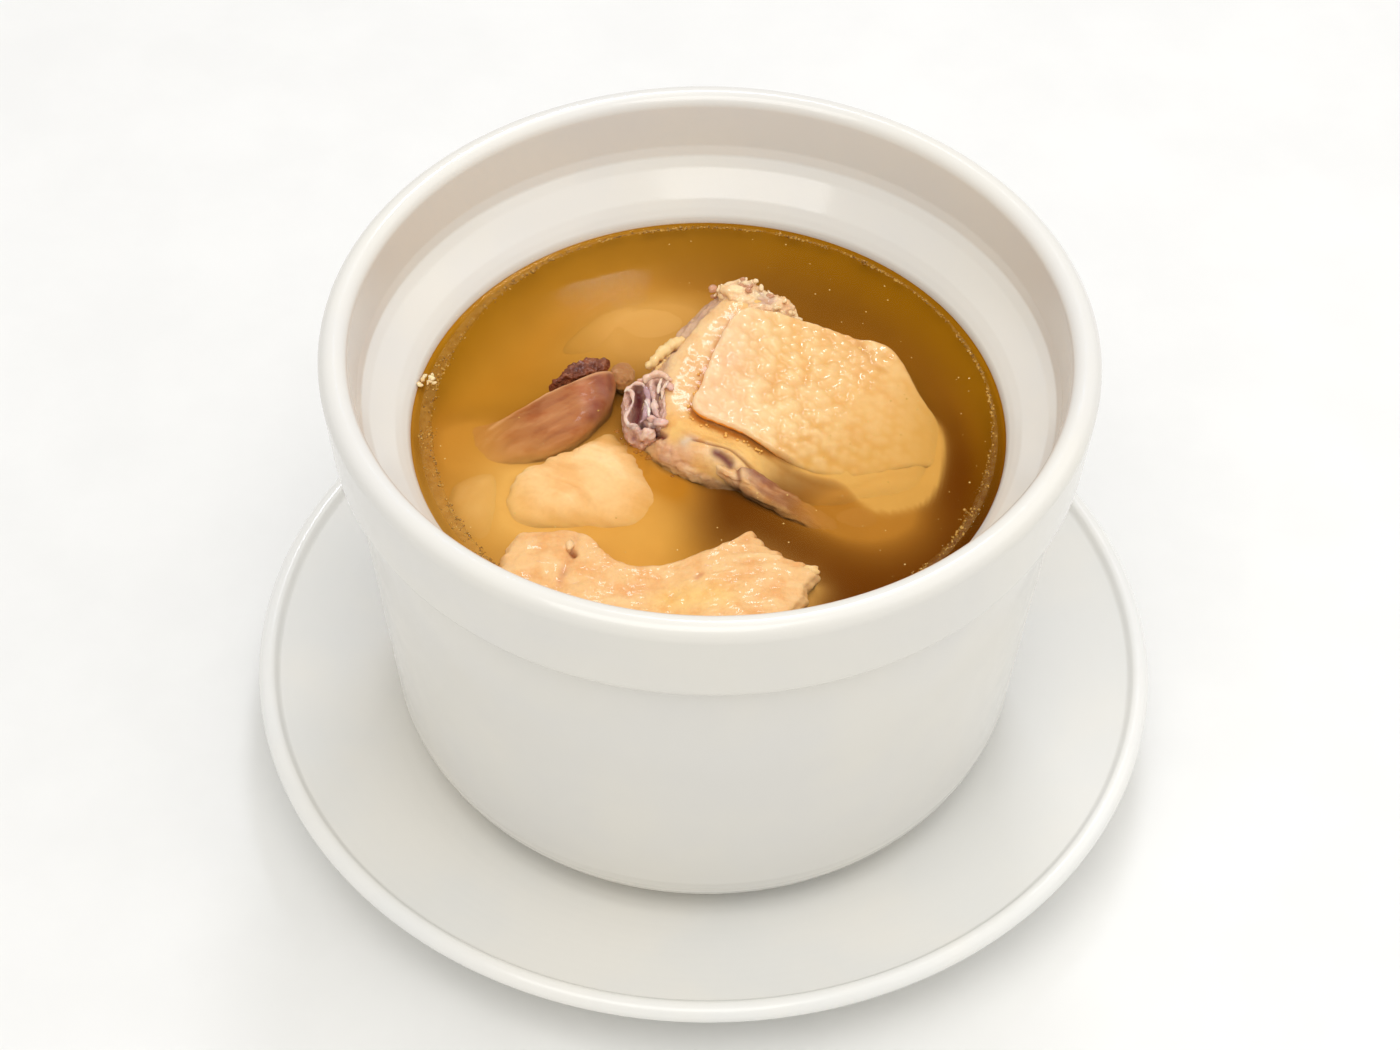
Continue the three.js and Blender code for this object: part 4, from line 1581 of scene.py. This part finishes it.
@dataclass(frozen=True, kw_only=True)
class Rib(Lump):
    """The brown bone along the cut side, running down into the broth."""

    name: str = "brown_rib"
    nodes: tuple[str, ...] = ("thigh_rib",)
    slot: Slot = Slot.MARROW
    finish: Flesh = Flesh("rib_bone", mottle=0.5, mottle_size=3, grain=0.08, coat=0.3, reach=2.0)
    centre: Pair = (12.0, -16.2)
    corners: tuple[Pair, ...] = (
        (0.6, -10.4), (2.0, -12.3), (4.6, -13.9), (11.0, -18.0), (19.5, -22.6), (25.0, -23.6), (23.5, -19.6),
        (13.0, -12.9), (7.0, -9.7), (3.4, -8.3), (1.2, -8.8),
    )
    section: tuple[Pair, ...] = ((0.1, 0), (0.6, 0.1), (0.85, 0.5), (1.0, 1.5), (0.9, 3.4), (0.5, 4.4))
    level: float = -1.3
    slope: Pair = (-0.26, 0.0)
    tint: Triple = tone(180, 126, 92)
    streak_light: Triple = tone(212, 160, 114)
    streak_dark: Triple = tone(148, 98, 80)
    streak: float = 0.7
    fibre_turn: float = -33.0
    fibre_size: Pair = (6.0, 0.9)
    fibre_depth: float = 0.25
    lump_size: float = 2.2
    lump_depth: float = 0.3
    seed: int = 23
    traces: tuple[Trace, ...] = (
        Trace(((-1.0, -9.0), (2.6, -11.0), (4.4, -11.6)), 3.0, 0.95, tone(240, 202, 148)),
        Trace(((1.9, -9.5), (4.2, -10.6)), 0.95, 1.0, tone(122, 62, 48), 0.45),
        Trace(((5.9, -9.4), (5.3, -11.6), (5.6, -14.0)), 0.45, 0.85, tone(140, 88, 62), 0.5),
        Trace(((6.8, -10.8), (11.0, -14.0)), 1.0, 0.65, tone(142, 92, 82)),
        Trace(((6.2, -14.2), (11.0, -17.8), (19.5, -22.6)), 0.6, 0.75, tone(232, 184, 120)),
    )


@dataclass(frozen=True, kw_only=True)
class Gristle(Lump):
    """The ragged far corner: soft cartilage with crumbs of bone and torn ends."""

    name: str = "ragged_gristle"
    nodes: tuple[str, ...] = ("thigh_gristle",)
    slot: Slot = Slot.CARTILAGE
    finish: Flesh = Flesh("gristle", mottle=0.5, mottle_size=2.5, grain=0.1, coat=0.5)
    centre: Pair = (8.2, 28.0)
    corners: tuple[Pair, ...] = (
        (1.4, 28.6), (5.0, 25.4), (10.0, 24.2), (15.0, 24.6), (15.6, 27.4), (11.4, 29.6), (8.8, 32.0), (3.6, 31.4)
    )
    section: tuple[Pair, ...] = ((0.2, 0), (0.6, 0.1), (0.88, 0.5), (1.0, 1.6), (0.9, 4.2), (0.5, 5.2))
    level: float = 4.8
    slope: Pair = (-0.2, 0.02)
    tint: Triple = tone(246, 212, 166)
    streak_dark: Triple = tone(212, 162, 124)
    streak: float = 0.8
    fibre_turn: float = 30.0
    fibre_size: Pair = (2.6, 1.1)
    fibre_depth: float = 0.45
    lump_size: float = 1.8
    lump_depth: float = 0.45
    seed: int = 24
    traces: tuple[Trace, ...] = (
        Trace(((9.1, 28.8), (10.0, 26.4), (11.0, 27.6)), 0.9, 0.6, tone(176, 140, 134), 0.2),
        Trace(((5.4, 30.8), (6.4, 30.2)), 0.6, 0.8, tone(150, 86, 60), 0.6),
    )
    crumbs: tuple[Triple, ...] = (
        (0.5, 29.6, 3.6), (2.0, 28.9, 4.0), (3.3, 29.8, 4.4), (4.9, 31.6, 4.6), (6.0, 31.0, 5.0), (7.2, 31.0, 5.0),
        (9.1, 30.4, 4.7), (10.8, 29.4, 4.4), (4.1, 28.6, 4.6), (14.6, 26.0, 3.2), (13.3, 25.4, 3.5), (11.6, 26.0, 4.0),
        (15.2, 24.2, 2.8), (16.4, 24.6, 2.2), (5.4, 30.4, 4.9), (8.0, 29.4, 5.0),
    )

    def extras(self) -> list[Form]:
        """Builds the crumbs and the torn ends.

        Returns:
            One form for each crumb, and one with the torn ends.
        """
        random, grain = np.random.default_rng(25), Grain(26)
        forms = []
        for crumb in self.crumbs:
            for _ in range(2):
                place = np.array(crumb) + random.normal(0, 0.45, 3) + np.array([0, -0.6, -0.3])
                size = random.uniform(0.35, 0.85, 3) * np.array([1.2, 1.0, 0.8])
                form = pebble(tuple(place), tuple(size), grain, 0.45, 16)
                form.dyed(tone(246, 214, 168) if random.random() < 0.7 else tone(206, 152, 118))
                forms.append(form)
        edge = ((0.6, 28.8, 3.6), (4.0, 30.6, 4.4), (8.8, 31.0, 4.6), (12.0, 28.4, 4.0), (15.6, 25.4, 2.8))
        forms.append(Frays(edge, (0.1, 0.7, 0.6), 8, (0.5, 1.1), (0.2, 0.4), tone(248, 216, 172), 27).form())
        return forms


@dataclass(frozen=True)
class MainChop:
    """The main piece: a chopped thigh with skin, fat, meat, an opened joint and bones."""

    splinters: tuple[tuple[Triple, ...], ...] = (
        ((-11.2, 12.0, 1.3), (-9.6, 14.0, 1.8), (-7.4, 16.2, 2.2), (-4.6, 18.0, 2.4)),
        ((-9.8, 11.6, 0.6), (-8.2, 13.8, 1.0), (-6.2, 15.6, 1.4)),
    )

    def splinter(self, haze: Haze) -> None:
        """Builds the pale splinters of bone at the left side.

        Args:
            haze: the cloudy broth that they stand in.
        """
        grain = Grain(28)
        forms = []
        for path, thick in zip(self.splinters, (1.0, 0.5)):
            form = strand(path, (thick * 0.8, thick, thick * 1.2, thick * 1.4), 14, 40)
            form.push(0.32 * grain.layered(form.points, (0.8, 0.8, 1.6), 3))
            form.dyed(tone(240, 204, 142))
            form.dab(0.6 * smooth_step(0.1, 0.7, grain.layered(form.points, 1.3, 2)), tone(206, 158, 96))
            forms.append(form)
        finish = Flesh("splinter_bone", mottle=0.4, grain=0.05, coat=0.4)
        form = joined(forms)
        make_piece("bone_splinter", form, finish.material(), ["thigh_splinter"], BROTH_Z, haze)

    def build(self, haze: Haze) -> None:
        """Builds all parts of the piece.

        Args:
            haze: the cloudy broth that they stand in.
        """
        for part in (ThighSkin(), ThighMeat(), Knuckle(), Rib(), Gristle()):
            part.build(haze)
        self.splinter(haze)


@dataclass(frozen=True, kw_only=True)
class Muscle(Lump):
    """The brown muscle at the left."""

    name: str = "brown_muscle"
    nodes: tuple[str, ...] = ("dark_meat",)
    slot: Slot = Slot.DARK_MEAT
    finish: Flesh = Flesh(
        "brown_flesh", warmer=tone(226, 176, 150), mottle=0.6, mottle_size=6, stretch=(1.0, 1.6, 1.6),
        grain=0.07, coat=0.1, reach=2.8, roughness=(0.45, 0.6),
    )
    centre: Pair = (-31.0, 2.0)
    corners: tuple[Pair, ...] = (
        (-19.4, 1.6), (-17.0, 6.0), (-17.3, 13.0), (-22.6, 10.8), (-30.0, 7.0), (-39.0, 1.8), (-46.0, 0.2),
        (-47.6, -3.6), (-45.0, -6.6), (-39.0, -8.4), (-33.0, -7.8), (-26.3, -5.9), (-22.0, -2.4),
    )
    section: tuple[Pair, ...] = (
        (0.05, -0.2), (0.45, 0), (0.75, 0.3), (0.93, 0.9), (1.0, 2.4), (0.94, 7.0), (0.55, 10.0)
    )
    tint: Triple = tone(178, 114, 68)
    streak_light: Triple = tone(198, 138, 88)
    streak_dark: Triple = tone(154, 92, 58)
    streak: float = 0.55
    fibre_turn: float = 32.0
    fibre_size: Pair = (11.0, 1.4)
    fibre_depth: float = 0.1
    lump_size: float = 6.0
    lump_depth: float = 0.3
    seed: int = 41
    traces: tuple[Trace, ...] = (
        Trace(((-38.7, -0.2), (-35.2, 2.6), (-30.8, 5.6), (-26.1, 8.2), (-21.4, 10.3), (-17.9, 12.2)), 0.45, 0.8,
              tone(226, 172, 122), -0.12),
        Trace(((-19.6, 9.2), (-18.8, 6.6)), 1.7, 0.7, tone(140, 84, 76)),
        Trace(((-20.2, 3.6), (-20.4, 1.6)), 1.5, 0.65, tone(138, 78, 68)),
        Trace(((-17.9, 11.6), (-17.6, 8.0)), 0.6, 0.6, tone(120, 66, 60), 0.3),
        Trace(((-22.6, 8.0), (-22.0, 4.0)), 1.2, 0.3, tone(220, 160, 130)),
    )

    def back(self, x: Array, y: Array) -> Array:
        """Height of its back, which dives towards the left."""
        return 1.3 - 6.4 * (np.maximum(0, -20 - x) / 27) ** 1.5


@dataclass(frozen=True, kw_only=True)
class Marrow(Lump):
    """The dark grainy marrow behind the muscle."""

    name: str = "grainy_marrow"
    nodes: tuple[str, ...] = ("dark_meat_marrow",)
    slot: Slot = Slot.MARROW
    finish: Flesh = Flesh("dark_marrow", mottle=0.7, mottle_size=1.5, grain=0.2, grain_size=0.6, coat=0.6)
    centre: Pair = (-23.0, 12.4)
    corners: tuple[Pair, ...] = (
        (-28.6, 8.8), (-23.0, 11.0), (-18.8, 13.2), (-18.0, 15.4), (-21.2, 15.8), (-25.2, 13.4)
    )
    section: tuple[Pair, ...] = ((0.1, 0), (0.5, 0), (0.9, 0.5), (1.0, 1.6), (0.8, 4.0))
    corner: float = 0.5
    level: float = 0.6
    tint: Triple = tone(118, 58, 34)
    streak_light: Triple = tone(160, 98, 66)
    streak_dark: Triple = tone(84, 34, 24)
    streak: float = 0.8
    fibre_size: Pair = (1.0, 0.7)
    fibre_depth: float = 0.35
    lump_size: float = 1.8
    lump_depth: float = 0.3
    seed: int = 42


@dataclass(frozen=True, kw_only=True)
class Knob(Lump):
    """The pale cartilage knob at the muscle's right end."""

    name: str = "cartilage_knob"
    nodes: tuple[str, ...] = ("dark_meat_knob",)
    slot: Slot = Slot.CARTILAGE
    finish: Flesh = Flesh("clear_gristle", mottle=0.3, grain=0.05, roughness=(0.2, 0.3), coat=0.3, glow=0.5, reach=2.2)
    centre: Pair = (-15.6, 12.6)
    corners: tuple[Pair, ...] = (
        (-17.8, 14.4), (-17.4, 11.0), (-15.4, 9.8), (-13.6, 12.0), (-14.2, 15.0), (-16.2, 15.6)
    )
    section: tuple[Pair, ...] = ((0.1, 0), (0.5, 0), (0.9, 0.6), (1.0, 1.8), (0.7, 4.0))
    corner: float = 0.5
    level: float = -0.2
    tint: Triple = tone(178, 126, 80)
    streak_light: Triple = tone(224, 180, 146)
    streak_dark: Triple = tone(166, 108, 74)
    fibre_size: Pair = (2.2, 1.2)
    lump_size: float = 2.0
    seed: int = 43


@dataclass(frozen=True)
class LeftPiece:
    """The piece at the left: a muscle on its bone."""

    def build(self, haze: Haze) -> None:
        """Builds its parts."""
        for part in (Muscle(), Marrow(), Knob()):
            part.build(haze)


@dataclass(frozen=True, kw_only=True)
class MiddlePiece(Lump):
    """The pale piece whose back just breaks the surface."""

    name: str = "middle_piece"
    nodes: tuple[str, ...] = ("middle_meat",)
    finish: Flesh = Flesh("middle_flesh", mottle=0.4, mottle_size=7, grain=0.05, coat=0.1, reach=2.5)
    centre: Pair = (-23.0, -12.0)
    corners: tuple[Pair, ...] = (
        (-35.6, -12.0), (-34.8, -21.6), (-25.6, -23.6), (-11.0, -23.0), (-4.8, -17.0), (-8.0, -8.0), (-12.4, -2.4),
        (-16.8, 2.6), (-24.2, -4.2), (-31.0, -8.4),
    )
    section: tuple[Pair, ...] = ((0.05, 0), (0.45, 0.1), (0.68, 0.7), (0.84, 1.8), (0.95, 4.0), (1.0, 6.5), (0.5, 10.0))
    corner: float = 1.6
    level: float = -0.5
    tint: Triple = tone(249, 204, 144)
    streak: float = 0.35
    fibre_turn: float = -28.0
    fibre_size: Pair = (12.0, 1.8)
    fibre_depth: float = 0.12
    lump_size: float = 6.0
    lump_depth: float = 0.35
    seed: int = 51
    steps: int = 300

    def back(self, x: Array, y: Array) -> Array:
        """Height of its back, which dives to the right and to the far side."""
        return self.level - 0.07 * np.maximum(0, x + 17) ** 1.1 - 0.2 * np.maximum(0, y + 6)

    def ragged(self, outline: Array) -> Array:
        """Torn along the far edge."""
        flat = np.column_stack([outline, np.zeros(len(outline))])
        return 0.7 * Grain(53).layered(flat, 1.8, 3) * (outline[:, 1] > -12)


@dataclass(frozen=True, kw_only=True)
class FrontPiece(Lump):
    """The pale piece at the near wall, with a crease across it."""

    name: str = "front_piece"
    nodes: tuple[str, ...] = ("front_meat",)
    finish: Flesh = Flesh("front_flesh", mottle=0.5, mottle_size=5, grain=0.1, coat=0.3, reach=2.3)
    centre: Pair = (-11.0, -44.0)
    corners: tuple[Pair, ...] = (
        (-35.0, -36.4), (-30.0, -41.8), (-20.0, -47.6), (-8.0, -50.4), (6.0, -50.0), (14.0, -46.0), (17.4, -39.0),
        (18.6, -34.6), (14.4, -32.2), (10.4, -29.8), (6.9, -27.9), (2.0, -30.2), (-5.0, -33.2), (-12.0, -34.6),
        (-17.6, -32.0), (-20.8, -28.0), (-27.7, -27.4), (-32.2, -28.4),
    )
    section: tuple[Pair, ...] = ((0.05, 0), (0.5, 0), (0.86, 0.1), (0.96, 0.6), (1.0, 2.2), (0.93, 8.0), (0.5, 11.0))
    corner: float = 0.8
    level: float = 2.2
    tint: Triple = tone(236, 188, 128)
    streak_light: Triple = tone(244, 206, 150)
    streak: float = 0.4
    fibre_turn: float = 14.0
    fibre_size: Pair = (8.0, 1.5)
    fibre_depth: float = 0.16
    lump_size: float = 4.0
    lump_depth: float = 0.32
    seed: int = 61
    steps: int = 460
    rings: int = 120
    traces: tuple[Trace, ...] = (
        Trace(((-22.3, -29.0), (-22.8, -33.0), (-24.2, -38.0)), 0.8, 0.45, tone(214, 150, 96), 0.8),
        Trace(((-22.9, -32.8), (-22.4, -33.6)), 0.55, 0.9, tone(150, 84, 46), 0.9),
        Trace(((-24.0, -37.0), (-24.6, -40.0)), 0.7, 0.5, tone(206, 138, 96)),
        Trace(((-6.0, -43.0), (2.0, -42.0)), 3.2, 0.5, tone(242, 200, 114)),
        Trace(((-14.0, -41.0), (-8.0, -40.0)), 1.4, 0.3, tone(226, 160, 104)),
        Trace(((-1.6, -38.4), (-0.9, -37.6)), 0.5, 0.6, tone(200, 130, 90), 0.2),
    )

    def back(self, x: Array, y: Array) -> Array:
        """Height of its back: a waist and a fall to the right."""
        waist = 0.9 * np.exp(-(((x + 9) / 7) ** 2))
        return self.level - waist - 0.02 * np.maximum(0, x) ** 1.4

    def ragged(self, outline: Array) -> Array:
        """Torn at the right end, with one tip that sticks out of the far edge.

        Args:
            outline: N x 2 points of the outline.

        Returns:
            How far each point is moved out, in mm.
        """
        x, y = outline.T
        flat = np.column_stack([outline, np.zeros(len(outline))])
        torn = 1.0 * Grain(65).layered(flat, 1.5, 3) * smooth_step(0, 7, x) * smooth_step(-44, -38, y)
        return torn + 1.6 * np.exp(-(((x - 6.6) / 0.8) ** 2)) * (y > -34) + 0.3 * Grain(66).layered(flat, 1.4, 2)

    def extras(self) -> list[Form]:
        """Builds the nub at the crease and a torn scrap at the right end.

        Returns:
            One form for each.
        """
        nub = pebble((-23.3, -31.6, 1.9), (0.7, 1.1, 0.6), Grain(62), 0.45, 20).dyed(tone(240, 196, 144))
        scrap = pebble((17.4, -34.6, 0.2), (1.3, 0.8, 0.5), Grain(64), 0.6, 24).dyed(tone(240, 196, 134))
        return [nub, scrap]


@dataclass(frozen=True, kw_only=True)
class SunkPiece(Lump):
    """A piece of chicken that lies wholly in the broth, softened by it."""

    section: tuple[Pair, ...] = (
        (0.05, 0), (0.35, 0.2), (0.62, 1.0), (0.82, 2.4), (0.96, 4.6), (1.0, 7.0), (0.9, 11.0), (0.5, 14.0)
    )
    corner: float = 1.6
    finish: Flesh = Flesh("sunk_flesh", mottle=0.35, mottle_size=8, grain=0.04, coat=0.0, reach=2.0)
    tint: Triple = tone(250, 204, 132)
    streak: float = 0.3
    fibre_depth: float = 0.1
    lump_size: float = 7.0
    lump_depth: float = 0.4
    fibre_size: Pair = (14.0, 3.0)


SUNK_PIECES = (
    SunkPiece(
        name="sunk_left", centre=(-41.0, -16.0), level=-2.4, slope=(0.04, 0.02), bow=(0.01, 0.006), seed=71,
        fibre_turn=60,
        corners=((-36.2, -6.0), (-41.0, -6.6), (-46.8, -11.6), (-47.0, -20.0), (-42.0, -28.0), (-36.4, -30.0),
                 (-34.6, -22.0), (-35.0, -12.0)),
    ),
    SunkPiece(
        name="sunk_far", centre=(-13.0, 29.0), level=-3.4, slope=(0.05, 0.06), bow=(0.004, 0.012), seed=72,
        fibre_turn=10,
        corners=((-29.0, 25.0), (-23.0, 33.0), (-14.0, 37.0), (-5.0, 36.0), (1.0, 30.0), (-6.0, 21.0),
                 (-14.0, 17.0), (-24.0, 18.0)),
    ),
    SunkPiece(
        name="sunk_lobe", centre=(27.0, -18.0), level=-4.8, slope=(-0.06, 0.0), bow=(0.01, 0.02), seed=73,
        fibre_turn=-20,
        corners=((17.0, -17.0), (24.0, -12.0), (35.0, -12.0), (36.0, -18.0), (30.0, -22.0), (21.0, -22.0)),
    ),
)

# Painted light in the broth about pale food under the surface; the third, about the brown muscle, and the eighth,
# beside the chop's near side, are dark and paint shade.
LIGHT_SHADE_PATCHES = (
    LightShadePatch(((-18, 26), (-13, 33), (-4, 33), (-1, 27), (-7, 21), (-14, 20)), 7.5, tone(218, 162, 84), 4.0, 0.9),
    LightShadePatch(SUNK_PIECES[0].corners, 3.0, tone(192, 136, 54), 4.4, 0.9),
    LightShadePatch(Muscle().corners, 6.0, tone(142, 86, 16), 4.4, 0.85),
    LightShadePatch(((-47, 0), (-40, 2), (-36, -4), (-38, -9), (-46, -8)), 4.0, tone(196, 134, 48), 4.4, 0.85),
    LightShadePatch(((-35, -11), (-35, -22), (-24, -25), (-12, -24), (-9, -15), (-13, -7), (-18, -4), (-26, -7)), 4.5,
         tone(226, 172, 90), 4.2),
    LightShadePatch(((-20, -18), (-12, -16), (-9, -21), (-8, -28), (-12, -32), (-20, -27)), 4.0, tone(218, 158, 72), 4.0, 0.9),
    LightShadePatch(((-13, -5), (-9, -10), (-4, -13), (-5, -16), (-11, -13)), 2.5, tone(188, 120, 24), 2.4, 0.8),
    LightShadePatch(((3, -15), (8, -18), (14, -22), (20, -25), (12, -26), (5, -22)), 3.0, tone(100, 52, 4), 2.6, 0.85),
    LightShadePatch(FrontPiece().corners, 1.6, tone(224, 168, 88), 3.6),
    LightShadePatch(SUNK_PIECES[2].corners, 3.0, tone(188, 126, 46), 6.0, 0.85),
    LightShadePatch(
        ((12, 0), (15, -8), (24, -11), (30, -16), (38, -13.5), (41.6, -4), (41.4, 5.2), (37.4, 11.2), (32.2, 19.6),
         (26, 20.8), (14, 22), (12, 12)),
        0.5, tone(214, 160, 80), 5.5,
    ),
)


@dataclass(frozen=True)
class Studio:
    """The pale floor, the soft lights and the camera."""

    camera_target: Triple = (-1.2, 0.0, 51.55)
    camera_distance: float = 574.2
    camera_elevation: float = 47.847
    camera_roll: float = 1.013
    sensor: float = 36.0
    lens: float = 80.4
    sky: float = 0.6

    def floor(self) -> None:
        """Lays a wide matt floor."""
        half = 4.0
        mesh = bpy.data.meshes.new("floor")
        mesh.from_pydata([(-half, -half, 0), (half, -half, 0), (half, half, 0), (-half, half, 0)], [], [(0, 1, 2, 3)])
        mesh.materials.append(Matt().material())
        floor = bpy.data.objects.new("floor", mesh)
        bpy.context.scene.collection.objects.link(floor)

    def light(self, name: str, place: Triple, size: Pair, power: float, colour: Triple = (1, 1, 1)) -> None:
        """Hangs a soft panel that faces the pot.

        Args:
            name: the panel's name.
            place: its middle, in mm.
            size: its width and height in mm.
            power: in watts.
            colour: of its light.
        """
        lamp = bpy.data.lights.new(name, "AREA")
        lamp.shape = "RECTANGLE"
        lamp.size, lamp.size_y = size[0] * MM, size[1] * MM
        lamp.energy = power
        lamp.color = colour
        panel = bpy.data.objects.new(name, lamp)
        panel.location = Vector(place) * MM
        panel.rotation_euler = (Vector((0, 0, 60)) - Vector(place)).to_track_quat("-Z", "Y").to_euler()
        bpy.context.scene.collection.objects.link(panel)

    def camera(self) -> None:
        """Sets the camera above the near side."""
        lens = bpy.data.cameras.new("camera")
        lens.sensor_width, lens.lens = self.sensor, self.lens
        lens.clip_start, lens.clip_end = 0.01, 20
        camera = bpy.data.objects.new("camera", lens)
        bpy.context.scene.collection.objects.link(camera)
        tilt = math.radians(self.camera_elevation)
        away = Vector((0, -math.cos(tilt), math.sin(tilt)))
        place = (Vector(self.camera_target) + away * self.camera_distance) * MM
        turn = Matrix.Rotation(math.pi / 2 - tilt, 4, "X") @ Matrix.Rotation(math.radians(self.camera_roll), 4, "Z")
        camera.matrix_world = Matrix.Translation(place) @ turn
        bpy.context.scene.camera = camera

    def build(self) -> None:
        """Sets up the whole studio."""
        world = bpy.data.worlds.new("studio")
        world.use_nodes = True
        world.node_tree.nodes["Background"].inputs["Color"].default_value = (1.0, 0.985, 0.96, 1)
        world.node_tree.nodes["Background"].inputs["Strength"].default_value = self.sky
        bpy.context.scene.world = world
        bpy.context.scene.view_settings.view_transform = "Standard"
        self.floor()
        self.camera()
        self.light("key", (520, -60, 980), (1300, 1300), 3.4, (1.0, 0.985, 0.96))
        self.light("core", (200, 330, 1100), (300, 300), 0.6, (1.0, 0.985, 0.96))
        self.light("fill", (-120, -520, 1150), (900, 700), 5.4, (1.0, 0.99, 0.97))
        self.light("window", (-59, 914, 908), (42, 20), 0.1, (0.4, 0.6, 1.0))
        self.light("streak", (100, 672, 1074), (230, 150), 2.2, (0.85, 0.88, 1.0))


def main() -> None:
    """Builds the soup in order."""
    logging.basicConfig(level=logging.INFO, format="%(name)s %(message)s")
    Studio().build()
    pot = Pot()
    haze = Haze(pot.inner, LIGHT_SHADE_PATCHES)
    for part in (Saucer(), pot, Broth(pot, haze)):
        part.build()
    for food in (MainChop(), LeftPiece(), MiddlePiece(), FrontPiece(), *SUNK_PIECES):
        food.build(haze)


if __name__ == "__main__":
    main()
